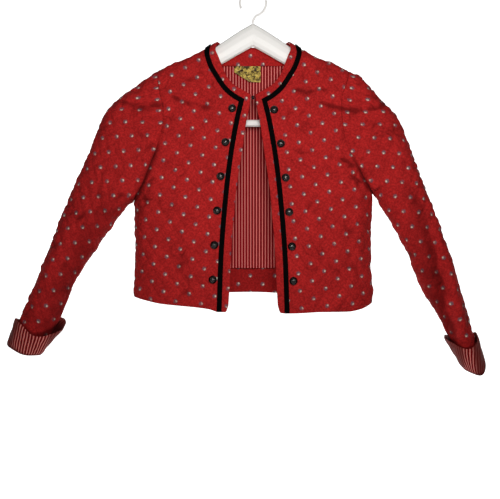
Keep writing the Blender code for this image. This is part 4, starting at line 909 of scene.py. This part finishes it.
def overhang(cut):
    """Where a sleeve hangs over the body beside the lower armhole: the height, and the painted shade beside
    it.
    """
    x, _, z = cut.base.T
    total = np.zeros((2, len(x)))
    for side, (high, low) in OVERHANGS.items():
        if cut.name not in ("back", "front_" + SIDES[side], "sleeve_" + SIDES[side]):
            continue
        seam = armhole_points(side, ARM_COUNT)
        away = beside(resample(seam[seam[:, 1] < high], 1.0), np.stack([x, z], axis=1))
        sleeve = cut.name.startswith("sleeve")
        pairs = ((2.6, 15.0), (0.5, 3.0)) if sleeve else ((-1.2, 9.0), (0.95, low))
        total += [most * ease((high - z) / 26.0) * ease(1 - away / reach) for most, reach in pairs]
    return total


def front_edge_pucker(cut):
    """Tiny tucks across the strip between the ribbon and the front's edge."""
    edge = laid(curve_of(FRONT_EDGE, 4.0, "z", "x"), cut.side)
    level = cut.outer[:, 1]
    waves = np.sin(level * 1.35 + 1.3 * np.sin(level * 0.21)) * (0.6 + 0.4 * np.sin(level * 0.37))
    return 0.32 * waves * ease(1 - beside(resample(edge, 1.0), cut.outer) / 13.0)


def head_pucker(cut):
    """The fullness gathered into the top of the armhole."""
    away = beside([(0.0, SLEEVES[cut.side].top)], cut.outer)
    waves = np.sin(cut.outer[:, 0] * 0.62 + 0.8 * np.sin(cut.outer[:, 0] * 0.19))
    return 0.5 * waves * ease(1 - away / 60.0)


# Where a cuff faces the front: its middle, the middle's drift along it, half the bright part, its soft end.
# Beyond it the stripes get painted shade.
CUFF_MIDDLE = {RIGHT: (-1.0, 0.12, 19.0, 9.0), LEFT: (-1.0, 0.22, 4.5, 5.0)}
CUFF_STRIPE_LEAN = {RIGHT: 0.25, LEFT: 0.39}
CUFF_COUNT = 132
CUFF_CLEAR = 1.0 + QUILT_RISE


def make_cuff(side):
    """The striped sleeve end turned back over the sleeve, as a closed shell with rounded folds."""
    form = SLEEVES[side]
    angle = np.arange(CUFF_COUNT) * 2 * math.pi / CUFF_COUNT
    wobble = 0.9 * np.sin(3 * angle + side) + 0.6 * np.sin(5 * angle + 2.0)
    rim = cuff_rim(side, angle) + wobble
    fold = round_values(CUFF_FOLD[side], angle) + 0.5 * wobble
    flare = round_values(CUFF_FLARE[side], angle)
    clear = CUFF_CLEAR
    middle = (rim + fold) / 2
    lip = -WALL - 2.0
    profile = (
        (clear + CUFF_THICK * 0.8, fold + 1.2),
        (clear + CUFF_THICK + flare * 0.35, middle),
        (clear + CUFF_THICK + flare, rim),
        (clear + flare, rim),
        (clear + flare * 0.35, middle),
        (clear, fold + CUFF_THICK + 1.5),
        (clear * 0.4, fold + CUFF_THICK),
        (lip, fold + CUFF_THICK),
        (lip, fold + CUFF_LIP),
        (lip - CUFF_THICK * 0.8, fold + CUFF_LIP),
        (lip - CUFF_THICK * 0.8, fold + 1.0),
        (-WALL * 0.5, fold),
    )
    rings = np.array([np.broadcast_arrays(out, t) for out, t in profile])
    for _ in range(3):
        after = np.roll(rings, -1, axis=0)
        rings = np.stack([0.75 * rings + 0.25 * after, 0.25 * rings + 0.75 * after], axis=1)
        rings = rings.reshape(-1, 2, CUFF_COUNT)
    points, shades = [], []
    middle_p, drift, bright, soften = CUFF_MIDDLE[side]
    for number, (out, t) in enumerate(rings):
        outer, inner, _ = form.edges(t)
        above = ease((t - fold) / 12.0)
        crumple = 0.5 * above * np.sin(4 * angle + 0.12 * t) + 0.35 * np.sin(9 * angle + 0.3 * t)
        out = out + crumple * above
        p = (outer + inner) / 2 + ((outer - inner) / 2 + out) * np.cos(angle)
        depth = (read(SLEEVE_DEPTH[side], t) + out) * np.sin(angle)
        x, z = form.at(t, p)
        points.append(np.stack([x, -depth - read(SLEEVE_FORWARD, t), z], axis=1))
        share = number / len(rings)
        # Painted shade: dark inside the turned-back cuff and in the gap at its rim, and dull on the flanks
        # that turn away from the front.
        within = ease((share - 0.2) / 0.06) * ease((0.93 - share) / 0.06)
        within = within * (0.55 + 0.45 * ease((rim - t) / 7.0))
        within = np.maximum(within, 0.8 * ease(1 - abs(share - 0.955) / 0.025))
        flank_shade = ease((np.abs(p - middle_p - drift * t) - bright) / soften)
        shades.append(np.stack([0.95 * within, flank_shade], axis=1))
    around = lengths_along(np.concatenate([points[0], points[0][:1]]))
    levels = rings[:, 1].ravel()
    faces = ring_faces(len(rings), CUFF_COUNT, closed=True)
    corners = np.array([
        [(around[face[0] % CUFF_COUNT + far] + CUFF_STRIPE_LEAN[side] * levels[v], levels[v])
         for v, far in zip(face, (0, 0, 1, 1))]
        for face in faces
    ])
    turned = slice(None) if side > 0 else slice(None, None, -1)
    name = "cuff_" + SIDES[side]
    mesh = new_mesh(name, np.concatenate(points), [face[turned] for face in faces], "cuff")
    uv_layer(mesh, "print", corners[:, turned] / PRINT_UNIT)
    uv_map(mesh, "painted_shade", np.concatenate(shades))
    obj = new_piece("striped_" + name, mesh, "lining", name)


def make_ribbon(name, line, face, node):
    """A ribbed ribbon sewn on along a flat line."""
    half = ((0.5, 0.0), (0.5, 0.45), (0.47, 0.75), (0.42, 0.92), (0.3, 0.8))
    shape = [(-across, lift) for across, lift in half] + [(0.0, 0.78)] + list(half[::-1])
    points, places = [], []
    along = lengths_along(line)
    uneven = 0.12 * np.sin(along * 0.9 + 0.8 * np.sin(along * 0.23))
    for across, lift in shape:
        flat = offset_line(line, across * BRAID_WIDTH)
        seam = ridge(flat[:, 0]) + SHOULDER_EXTRA
        flat[:, 1] = np.minimum(flat[:, 1], seam - SEAM_GAP)
        gap = BRAID_LIFT + BRAID_EASE * np.clip(1 - (seam - flat[:, 1]) / BRAID_EASE_LENGTH, 0, 1)
        normals = normals_of(lambda f: body_place(f, face), flat, -face)
        points.append(body_place(flat, face) + normals * (gap + lift * BRAID_THICK + uneven)[:, None])
        places.append(np.stack([np.full(len(along), across * BRAID_WIDTH), along], axis=1))
    count, corners = len(line), len(shape)
    faces = ring_faces(count, corners, flipped=True)
    faces.append(range(corners)[::-1])
    faces.append(range((count - 1) * corners, count * corners))
    if face > 0:
        faces = [quad[::-1] for quad in faces]
    mesh = new_mesh(name, np.stack(points, axis=1).reshape(-1, 3), faces, "ribbon")
    uv_map(mesh, "print", np.stack(places, axis=1).reshape(-1, 2) / PRINT_UNIT)
    return new_piece(name, mesh, "braid", node)


STITCH_HEIGHT = -161.5
STITCH_THREAD = 0.34
STITCH_TURNS = 5
STITCH_PITCH = 0.62
STITCH_RADII = (1.7, 2.5)
BUTTON_PETALS = 8
BUTTON_ROPE = 36
BUTTON_PROFILE = table(
    "r z",
    (0.01, 4.15), (0.7, 4.1), (1.4, 3.9), (2.1, 3.75), (2.8, 3.45), (3.5, 2.95), (4.0, 2.45), (4.3, 2.05),
    (4.55, 1.75), (4.8, 1.8), (5.1, 2.1), (5.5, 2.15), (5.85, 1.85), (6.0, 1.3), (5.9, 0.7), (5.5, 0.3),
    (4.9, 0.1), (0.01, 0.05),
)


def button_mesh():
    """A domed metal button with a plain petalled relief and a roped edge."""
    around, rings = 72, 52
    angle = np.arange(around) * 2 * math.pi / around
    index = np.arange(len(BUTTON_PROFILE["r"]))
    at = np.linspace(0, index[-1], rings)
    points = []
    for r, z in zip(*(np.interp(at, index, column) for column in BUTTON_PROFILE.values())):
        top = z > 1.2
        petals = 0.22 * np.cos(BUTTON_PETALS * angle) * ease((r - 0.9) / 1.2)
        petals = petals * ease((4.2 - r) / 0.9) * top
        rope = 0.13 * np.cos(BUTTON_ROPE * angle) * ease((r - 4.7) / 0.4) * top
        points.append(np.stack([r * np.cos(angle), r * np.sin(angle), z + petals + rope], axis=1))
    faces = ring_faces(rings, around) + [range(around), range((rings - 1) * around, rings * around)[::-1]]
    return new_mesh("domed_button", np.concatenate(points), faces, "button")


def make_buttons():
    mesh = button_mesh()
    made = {RIGHT: [], LEFT: []}
    for side in SIDES:
        flat = laid(button_places(side))
        normals = normals_of(front_place, flat, 1.0)
        points = front_place(flat) + normals * BUTTON_LIFT
        for k in range(BUTTON_COUNT):
            word = f"{SIDES[side]}_{k + 1}"
            obj = new_piece("domed_button_" + word, mesh, "button", "button_" + word)
            turn = Vector(normals[k]).to_track_quat("Z", "Y").to_matrix().to_4x4()
            spin = Matrix.Rotation(0.7 * k + side, 4, "Z")
            obj.matrix_world = Matrix.Translation(Vector(points[k] * MM)) @ turn @ spin
            made[side].append(obj)
    return made


def make_hook_stitches():
    """The black thread that holds the small hook, wound in a few turns."""
    count, sides = 14, 6
    deep, high = STITCH_RADII
    y = body_place(flat_of_body(0.0, STITCH_HEIGHT), FRONT)[0, 1] + WALL + 1.1
    points, faces = [], []
    for turn in range(STITCH_TURNS):
        faces += [[len(points) + v for v in quad] for quad in ring_faces(count, sides, True, True)]
        for k in range(count):
            a = 2 * math.pi * k / count
            for m in range(sides):
                b = 2 * math.pi * m / sides
                out = STITCH_THREAD * math.cos(b)
                x = STITCH_PITCH * (turn - 2) - 0.4 + 0.25 * math.sin(a + turn)
                x = x + STITCH_THREAD * math.sin(b)
                z = STITCH_HEIGHT - 0.8 + (high + out) * math.sin(a)
                points.append((x, y + 0.4 - (deep + out) * math.cos(a), z))
    new_piece("hook_stitches", new_mesh("hook_stitches", points, faces, "wire"), "hook_and_eye")


def layer(name, columns, rows, thick, look, slot, node, shape, top=None, print_places=None):
    """A thin layer of cloth on the inner side of the back, over a grid of flat points.

    shape gives, for the flat points and a place in the cloth's thickness, where they lie and how
    far out from the back.
    """
    across, down = len(columns), len(rows)
    count = across * down
    flat = np.array([(a, b) for a in columns for b in rows], float)
    if top is not None:
        share = (flat[:, 1] - rows[-1]) / (rows[0] - rows[-1])
        flat[:, 1] = rows[-1] + share * (top(flat[:, 0]) - rows[-1])
    skins = []
    for level in (0.0, thick):
        put, lift = shape(flat, level)
        depth = WALL + LAYER_GAP + lift
        skins.append(plain_back(put) - normals_of(plain_back, put, -1.0) * depth[:, None])
    faces = []
    for a in range(across - 1):
        for b in range(down - 1):
            k = a * down + b
            quad = [k, k + down, k + down + 1, k + 1]
            faces += [quad[::-1], [count + v for v in quad]]
    edge = [a * down for a in range(across)] + [(across - 1) * down + b for b in range(1, down)]
    edge += [a * down + down - 1 for a in range(across - 2, -1, -1)] + list(range(down - 2, 0, -1))
    for k, n in zip(edge, edge[1:] + edge[:1]):
        faces.append([n, k, count + k, count + n])
    mesh = new_mesh(name, np.concatenate(skins), faces, look)
    places = flat if print_places is None else print_places(flat)
    uv_map(mesh, "print", np.concatenate([places, places]) / PRINT_UNIT)
    size = (float(np.ptp(flat[:, 0])) * MM, float(np.ptp(flat[:, 1])) * MM)
    return new_piece(name, mesh, slot, node), size


def make_inside():
    """The striped lining, the printed facing round the back neck and the bare label on it."""

    def hang(flat, level):
        held = ease((-111.0 - flat[:, 1]) / 60.0)
        fine = 0.5 * ripples(flat[:, 0] * 2.2, flat[:, 1] * 0.35, 40.0, 31)
        return flat, lining_ripple(flat) + held * (fine + 0.5) + level

    rows = np.linspace(LINING_TOP, LINING_BOTTOM, int((LINING_TOP - LINING_BOTTOM) / LINING_GRID))
    lining, size = layer(
        "striped_lining", np.arange(-132, 132.1, LINING_GRID), rows, LINING_THICK, "lining", "lining",
        "back_lining", hang, lambda x: np.minimum(LINING_TOP, ridge(x) - 24.0),
    )

    rows = np.linspace(NECK_BACK["z"].min() - 1.5, LINING_TOP + 0.5, 16)
    facing, size = layer(
        "neck_facing", np.linspace(-48, 48, 49), rows, LINING_THICK, "facing", "facing", "back_neck_facing",
        lambda flat, level: (flat, 0.25 * ripples(*flat.T, 14.0, 32) + level), print_places=back_print,
    )

    fold_at = np.array([LABEL_EDGES[0], LABEL_TOP - 0.36 * LABEL_DROP])
    fold_way = np.array([LABEL_EDGES[0] + 25.0, LABEL_TOP - LABEL_DROP]) - fold_at
    fold_way = fold_way / np.linalg.norm(fold_way)
    fold_out = np.array([fold_way[1], -fold_way[0]])

    def crumple(flat, level):
        beyond = (flat - fold_at) @ fold_out
        bend = np.clip(beyond / LABEL_FOLD, 0, math.pi)
        inner = LABEL_FOLD - level
        past = np.maximum(beyond - math.pi * LABEL_FOLD, 0)
        offset = np.minimum(beyond, 0) + inner * np.sin(bend) - past
        put = flat + (offset - beyond)[:, None] * fold_out
        rise = np.where(beyond > 0, LABEL_FOLD - inner * np.cos(bend), level)
        across = (put[:, 0] - LABEL_EDGES[0]) / (LABEL_EDGES[1] - LABEL_EDGES[0])
        down = (LABEL_TOP - put[:, 1]) / LABEL_DROP
        wave = 1.6 * np.sin(across * 9.0 + down * 3.0) * down
        fine = 1.1 * ripples(put[:, 0], put[:, 1], 7.0, 33) * ease(down / 0.2)
        return put, LINING_THICK + 0.5 + wave + 4.4 * down + fine + rise + 0.12 * past

    label, size = layer(
        "bare_label", np.linspace(*LABEL_EDGES, 61), np.linspace(LABEL_TOP, LABEL_TOP - LABEL_DROP, 41),
        LABEL_THICK, "label", "label", "label", crumple,
    )


PRINT_COLUMN = 18.8
PRINT_ROW = 25.6
PRINT_LEAN = 0.092
FLOWER_RADIUS = 2.5
PETAL_REACH = 0.7


def print_frame(lean, anchor):
    """Turns flat places into places in the print, with a sprig's middle at the anchor."""
    c, s = math.cos(lean), math.sin(lean)
    turn = np.array([(c, s), (-s, c)])
    return lambda flat: (flat - anchor) @ turn + (PRINT_COLUMN / 2, PRINT_ROW / 2)


def body_print(side, x, z):
    return print_frame(-side * PRINT_LEAN, flat_of_body(x, z)[0])


def sleeve_print(side, lean, p, t):
    """The sleeve's print runs nearly along its axis, with a sprig at a place on its front."""
    sections, arcs = SLEEVES[side].sections(np.array([t]))
    return print_frame(lean, np.array([np.interp(-p, -sections[0], arcs[0]), t]))


back_print = print_frame(0.0, flat_of_body(-3.9, -95.1)[0])


def worked(operation, swapped=False):
    """A method that puts a value, and another if there is one, through a Math node."""

    def work(self, *others):
        values = (self, *others)
        return self.look.maths(operation, *(values[::-1] if swapped else values))

    return work


class Value:
    """A number in a material's nodes, for plain arithmetic."""

    def __init__(self, look, socket):
        self.look, self.socket = look, socket

    __add__ = worked("ADD")
    __sub__ = worked("SUBTRACT")
    __rsub__ = worked("SUBTRACT", swapped=True)
    __mul__ = worked("MULTIPLY")
    __truediv__ = worked("DIVIDE")
    __mod__ = worked("MODULO")
    __pow__ = worked("POWER")
    __abs__ = worked("ABSOLUTE")
    floor = worked("FLOOR")
    whole = worked("ROUND")
    part = worked("FRACT")
    root = worked("SQRT")
    sine = worked("SINE")
    cosine = worked("COSINE")
    angle_over = worked("ARCTAN2")
    most = worked("MAXIMUM")

    def step(self, low, high):
        """A soft step from 0 at low to 1 at high."""
        node = self.look.node("MapRange", {0: self, 1: low, 2: high}, interpolation_type="SMOOTHSTEP")
        return Value(self.look, node.outputs[0])


class Look:
    """One procedural material, made with short calls. Colours are given without their alpha."""

    def __init__(self, name, roughness, sheen=0.0, metallic=0.0, shine=0.5):
        self.material = bpy.data.materials.new(name)
        self.material.use_nodes = True
        self.tree = self.material.node_tree
        self.shader = self.tree.nodes["Principled BSDF"]
        self.give(self.shader, {
            "Roughness": roughness, "Metallic": metallic, "Sheen Weight": sheen, "Sheen Roughness": 0.5,
            "Specular IOR Level": shine,
        })

    def give(self, node, inputs):
        """Sets a node's inputs, named or numbered, or links values to them."""
        for name, value in inputs.items():
            socket = node.inputs[name]
            value = getattr(value, "socket", value)
            if isinstance(value, bpy.types.NodeSocket):
                self.tree.links.new(value, socket)
            else:
                socket.default_value = (*value, 1.0) if isinstance(value, tuple) else value

    def node(self, kind, inputs=None, **settings):
        node = self.tree.nodes.new("ShaderNode" + kind)
        for name, value in settings.items():
            setattr(node, name, value)
        self.give(node, inputs or {})
        return node

    def maths(self, operation, *values):
        return Value(self, self.node("Math", dict(enumerate(values)), operation=operation).outputs[0])

    def mix(self, share, a, b):
        return self.node("Mix", {0: share, 6: a, 7: b}, data_type="RGBA", blend_type="MIX").outputs[2]

    def split(self, places, scale=1.0):
        outputs = self.node("SeparateXYZ", {0: places}).outputs
        return [Value(self, outputs[k]) * scale for k in (0, 1)]

    def map_places(self, name, scale=1.0):
        """The two numbers of a UV map, in millimetres or in stitched diamonds."""
        return self.split(self.node("UVMap", uv_map=name).outputs[0], scale)

    def vector(self, x, y):
        return self.node("CombineXYZ", {0: x, 1: y}).outputs[0]

    def noise(self, places, scale, detail=2.0, roughness=0.5):
        inputs = {"Vector": places, "Scale": scale, "Detail": detail, "Roughness": roughness}
        return Value(self, self.node("TexNoise", inputs).outputs[0])

    def object_places(self):
        return self.node("TexCoord").outputs["Object"]

    def finish(self, colour, roughness, height=None, strength=0.0, distance=0.0):
        """Gives the shader its colour, roughness and bump, and hands over the material."""
        self.give(self.shader, {"Base Color": colour, "Roughness": roughness})
        if height is not None:
            bump = self.node("Bump", {"Strength": strength, "Distance": distance, "Height": height})
            self.give(self.shader, {"Normal": bump.outputs[0]})
        return self.material


def dimmed(colour, share):
    return tuple(part * share for part in colour)


def weave(u, v, pitch):
    """The height of a plain weave, over and under, at a thread pitch in millimetres."""
    turn = 2 * math.pi / pitch
    return (u * turn).sine() * (v * turn).sine()


def sprigs(look, u, v):
    """Where the small flowers of the print lie: their light petals, dark petals and middle."""
    column = (u / PRINT_COLUMN).floor()
    level = v / PRINT_ROW + abs(column) % 2.0 * 0.5
    a = ((u / PRINT_COLUMN).part() - 0.5) * PRINT_COLUMN
    b = (level.part() - 0.5) * PRINT_ROW
    chance = look.node("TexWhiteNoise", noise_dimensions="2D")
    look.give(chance, {"Vector": look.vector(column, level.floor())})
    turn = (Value(look, chance.outputs["Value"]) * 4.0).floor() * 0.75 - 2.5
    c, s = turn.cosine(), turn.sine()
    x, y = a * c + b * s, b * c - a * s
    away = (x * x + y * y).root()
    lobes = abs((y.angle_over(x) * 2.5).cosine())
    fuzz = (look.noise(look.vector(u, v), 1.1, 2.0, 0.6) - 0.5) * 3.0
    flower = (lobes * PETAL_REACH + FLOWER_RADIUS + fuzz - away).step(-1.0, 1.0)
    half = (((x - 0.55) ** 2.0 + (y - 1.0) ** 2.0).root() + fuzz).step(1.95, 0.85)
    return flower * half, flower * (1.0 - half), away.step(1.1, 0.5)


RED = (0.63, 0.0255, 0.025)
DEEP_RED = (0.24, 0.0092, 0.01)
# Painted shade for creases, folds, gaps and the inside of the cuffs.
PAINTED_SHADE_RED = (0.06, 0.0022, 0.0026)
CREAM = (0.84, 0.74, 0.6)
SLATE = (0.13, 0.105, 0.135)
SEED = (0.16, 0.06, 0.06)
PINK = (0.95, 0.26, 0.235)
MAROON = (0.26, 0.006, 0.0105)
CUFF_PINK = (0.92, 0.27, 0.24)
CUFF_MAROON = (0.2, 0.0025, 0.0035)
# Painted shade on the flanks of the cuffs.
PAINTED_SHADE_MAROON = (0.16, 0.02, 0.017)

# Thread pitches and rib pitches in millimetres, and the quilting's stitches along each diamond.
COTTON_PITCH = 0.75
LINING_PITCH = 0.6
RIBBON_RIB = 1.1
SATIN_RIB = 0.7
STITCHES = 5
THREAD_EDGES = (0.03, 0.012)
FURROW_EDGES = (0.09, 0.0)
STRIPE_SOFT = 0.035


def printed_cloth(name, quilted, shade_factor=1.0):
    """Red cotton with small two-coloured flowers, a fine weave and, on the outside, quilting stitches, with
    painted shade in the quilting furrows, creases and folds.
    """
    look = Look(name, 0.82, sheen=0.01, shine=0.04)
    u, v = look.map_places("print", PRINT_UNIT)
    places = look.vector(u, v)
    fleck = look.noise(places, 1.6, 2.0, 0.6)
    shade = look.noise(places, 0.03, 3.0, 0.5)
    mottle = look.noise(places, 0.33, 3.0, 0.65)
    tone = fleck.step(0.3, 0.7) * 0.3 + shade.step(0.3, 0.7) * 0.2 + mottle.step(0.35, 0.65) * 0.5
    ground = look.mix(tone, dimmed(DEEP_RED, shade_factor), dimmed(RED, shade_factor))
    light, dark, middle = sprigs(look, u, v)
    ground = look.mix(dark * 0.8, ground, SLATE)
    ground = look.mix(light * 0.92, ground, CREAM)
    ground = look.mix(middle * 0.7, ground, SEED)
    height = weave(u, v, COTTON_PITCH) * 0.35 + fleck * 0.5
    if quilted:
        s, t = look.map_places("quilt")
        line_s, line_t = (abs(way - way.whole()) for way in (s, t))
        dash_s, dash_t = ((way * (2 * math.pi * STITCHES)).sine().step(-0.5, 0.1) for way in (t, s))
        thread = (line_s.step(*THREAD_EDGES) * dash_s).most(line_t.step(*THREAD_EDGES) * dash_t)
        furrow = line_s.step(*FURROW_EDGES).most(line_t.step(*FURROW_EDGES))
        # Painted shade along the quilting furrows.
        ground = look.mix(furrow * 0.42, ground, DEEP_RED)
        ground = look.mix(thread * 0.5, ground, RED)
        height = height + (thread * 1.2 + furrow * -1.6)
        # Painted shade in the creases, folds and gaps of the cloth.
        ground = look.mix(look.map_places("painted_shade")[0] * 0.85, ground, PAINTED_SHADE_RED)
    return look.finish(ground, fleck * 0.12 + 0.76, height, 0.5, 0.0004)


def striped_cloth(name, pitch, share, maroon, pink, turned=False):
    """Smooth striped cotton: narrow pale stripes with soft edges on a dark ground."""
    look = Look(name, 0.6, sheen=0.01, shine=0.05)
    u, v = look.map_places("print", PRINT_UNIT)
    places = look.vector(u, v)
    drift = look.noise(places, 0.05, 2.0) * 0.4 + look.noise(places, 0.16) * 0.35
    wave = abs((u / pitch + (drift if turned else 0.25)).part() - 0.5)
    fleck = look.noise(places, 2.2, 2.0, 0.6)
    ground, pale = (look.mix(fleck.step(0.3, 0.7), dimmed(red, 0.8), red) for red in (maroon, pink))
    colour = look.mix(wave.step(share / 2 + STRIPE_SOFT, share / 2 - STRIPE_SOFT), ground, pale)
    if turned:
        # On a turned-back cuff, painted shade: duller stripes where it turns away from the front, and
        # darker inside the fold and at the rim.
        deep, flank_shade = look.map_places("painted_shade")
        colour = look.mix(flank_shade * 0.85, colour, PAINTED_SHADE_MAROON)
        colour = look.mix(deep, colour, PAINTED_SHADE_RED)
    return look.finish(colour, fleck * 0.15 + 0.52, weave(u, v, LINING_PITCH) + fleck * 0.6, 0.35, 0.0003)


def ribbed_ribbon():
    look = Look("black_ribbon", 0.75, shine=0.03)
    u, v = look.map_places("print", PRINT_UNIT)
    rib = (v * (2 * math.pi / RIBBON_RIB)).sine()
    fleck = look.noise(look.vector(u, v), 1.5, 2.0)
    colour = look.mix(fleck, (0.0006, 0.0005, 0.0006), (0.0025, 0.0022, 0.0025))
    return look.finish(colour, fleck * 0.2 + 0.65, rib + fleck * 0.5, 0.4, 0.0003)


def dark_metal():
    look = Look("darkened_metal", 0.2, metallic=0.9)
    places = look.object_places()
    wear = look.noise(places, 900.0, 3.0, 0.6)
    x, y = look.split(places)
    worn = look.mix(wear.step(0.45, 0.7), (0.05, 0.048, 0.046), (0.2, 0.195, 0.19))
    # Near-black towards the rim: painted shade.
    colour = look.mix((x * x + y * y).root().step(0.0036, 0.0048), worn, (0.006, 0.0058, 0.0056))
    return look.finish(colour, wear * 0.14 + 0.1, wear, 0.25, 0.0002)


def gold_satin():
    look = Look("gold_satin", 0.36, sheen=0.2, metallic=0.35)
    u, v = look.map_places("print", PRINT_UNIT)
    rib = (v * (2 * math.pi / SATIN_RIB)).sine()
    fleck = look.noise(look.vector(u, v), 0.14, 4.0, 0.7)
    # Over the gold, near-black patches are painted shade in the crumples and pale ones are painted
    # highlights.
    gold = look.mix(fleck.step(0.41, 0.58), (0.035, 0.016, 0.003), (0.82, 0.62, 0.13))
    colour = look.mix(fleck.step(0.62, 0.72), gold, (0.95, 0.86, 0.55))
    return look.finish(colour, fleck * 0.25 + 0.25, rib + fleck * 1.5, 0.45, 0.0003)


def plain_plastic():
    look = Look("white_plastic", 0.4)
    grain = look.noise(look.object_places(), 160.0, 3.0)
    colour = look.mix(grain, (0.93, 0.92, 0.9), (0.97, 0.96, 0.94))
    return look.finish(colour, grain * 0.2 + 0.32, grain, 0.15, 0.0003)


def black_wire():
    look = Look("black_wire", 0.35, metallic=0.5)
    grain = look.noise(look.object_places(), 1200.0, 2.0)
    colour = look.mix(grain, (0.004, 0.004, 0.004), (0.02, 0.02, 0.021))
    return look.finish(colour, grain * 0.25 + 0.25)


# The stage, in metres: how the backdrop curves up from the floor, its half width and the camera.
BACKDROP_CURVE = (
    (-2.5, -0.85), (1.5, -0.85), (1.8, -0.83), (2.05, -0.74), (2.2, -0.58), (2.25, -0.35), (2.25, 2.0),
)
BACKDROP_HALF = 4.0
BACKDROP_SHINE = (0.0, 0.34)
WORLD_STRENGTH = 0.07
CAMERA_PLACE = (-0.0045, -1.5, -0.38775)
CAMERA_LENS = 72.0
# Each light's name, place, aim, size, power and colour.
LIGHTS = (
    ("key", (0.04, -0.6, -0.14), (0.0, 0.0, -0.23), 0.3, 2.85, (1.0, 0.98, 0.95)),
    ("fill", (0.6, -1.9, 0.3), (0.0, 0.0, -0.35), 0.8, 0.75, (1.0, 0.99, 0.98)),
)


def stage_surface():
    """A pale surface that shines behind the jacket, so that the backdrop is even and bright."""
    look = Look("pale_backdrop", 0.9)
    grain = look.noise(look.object_places(), 3.0, 2.0)
    behind = look.split(look.object_places())[1].step(*BACKDROP_SHINE)
    look.give(look.shader, {"Emission Color": (1.0, 1.0, 1.0), "Emission Strength": behind})
    return look.finish(look.mix(grain, (0.9, 0.9, 0.9), (0.93, 0.93, 0.93)), 0.9)


def make_stage():
    """A pale floor that curves up into a backdrop, soft lights and the camera."""
    link = bpy.context.scene.collection.objects.link
    mesh = bpy.data.meshes.new("backdrop")
    mesh.from_pydata(
        [(x, y, z) for y, z in BACKDROP_CURVE for x in (-BACKDROP_HALF, BACKDROP_HALF)], [],
        [(2 * k, 2 * k + 1, 2 * k + 3, 2 * k + 2) for k in range(len(BACKDROP_CURVE) - 1)],
    )
    mesh.shade_smooth()
    mesh.materials.append(stage_surface())
    backdrop = bpy.data.objects.new("backdrop", mesh)
    link(backdrop)

    for name, place, aim, size, power, colour in LIGHTS:
        light = bpy.data.lights.new(name, "AREA")
        light.shape, light.size, light.energy, light.color = "DISK", size, power, colour
        lamp = bpy.data.objects.new(name, light)
        lamp.location = place
        lamp.rotation_euler = (Vector(aim) - Vector(place)).to_track_quat("-Z", "Y").to_euler()
        link(lamp)

    world = bpy.data.worlds.new("studio")
    world.use_nodes = True
    background = world.node_tree.nodes["Background"]
    background.inputs["Color"].default_value = (1.0, 1.0, 1.0, 1.0)
    background.inputs["Strength"].default_value = WORLD_STRENGTH
    bpy.context.scene.world = world
    bpy.context.scene.view_settings.view_transform = "Standard"

    camera = bpy.data.cameras.new("camera")
    camera.sensor_width = 36.0
    camera.lens = CAMERA_LENS
    seen = bpy.data.objects.new("camera", camera)
    seen.location = CAMERA_PLACE
    seen.rotation_euler = (math.pi / 2, 0.0, 0.0)
    link(seen)
    bpy.context.scene.camera = seen


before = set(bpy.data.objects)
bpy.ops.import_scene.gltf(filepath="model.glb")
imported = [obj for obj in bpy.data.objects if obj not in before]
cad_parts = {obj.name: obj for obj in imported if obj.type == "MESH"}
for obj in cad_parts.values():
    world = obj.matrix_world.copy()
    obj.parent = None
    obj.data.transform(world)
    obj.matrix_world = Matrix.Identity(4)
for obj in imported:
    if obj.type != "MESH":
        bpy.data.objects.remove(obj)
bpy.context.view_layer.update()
make_stage()

LOOKS = {
    "cloth": printed_cloth("printed_cotton", True),
    "facing": printed_cloth("printed_facing", False),
    # The printed cotton again with its red ground darker: painted shade for the inside of the back.
    "inside": printed_cloth("printed_inside", False, 0.75),
    "lining": striped_cloth("striped_lining", 4.45, 0.3, MAROON, PINK),
    "cuff": striped_cloth("striped_cuff", 4.35, 0.38, CUFF_MAROON, CUFF_PINK, turned=True),
    "ribbon": ribbed_ribbon(),
    "button": dark_metal(),
    "label": gold_satin(),
    "hanger": plain_plastic(),
    "wire": black_wire(),
}
for node in ("hanger_arms", "hanger_bar", "hanger_hook", "hook", "eye"):
    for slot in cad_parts[node].material_slots:
        slot.material = LOOKS["hanger" if node.startswith("hanger") else "wire"]

cut_heights = make_cloth()
sewn = {
    "front_right": [make_ribbon("ribbon_right", braid_flat(RIGHT), FRONT, "braid_right")],
    "front_left": [make_ribbon("ribbon_left", braid_flat(LEFT), FRONT, "braid_left")],
    "back": [make_ribbon("ribbon_neck", neck_braid_flat(), BACK, "braid_neck")],
}
for side, buttons in make_buttons().items():
    sewn["front_" + SIDES[side]] += buttons
prints = {
    "front_right": body_print(RIGHT, -132.2, -256.2),
    "front_left": body_print(LEFT, 65.0, -204.4),
    "back": back_print,
    "sleeve_right": sleeve_print(RIGHT, 0.087, -0.9, 272.7),
    "sleeve_left": sleeve_print(LEFT, 0.148, -20.3, 288.5),
}
for cut, heights, painted_shade in cut_heights:
    looks = ("cloth", "inside" if cut.name == "back" else "lining")
    cloth_piece(cut, heights, painted_shade, prints[cut.name], looks)
for side in SIDES:
    make_cuff(side)
make_inside()
make_hook_stitches()
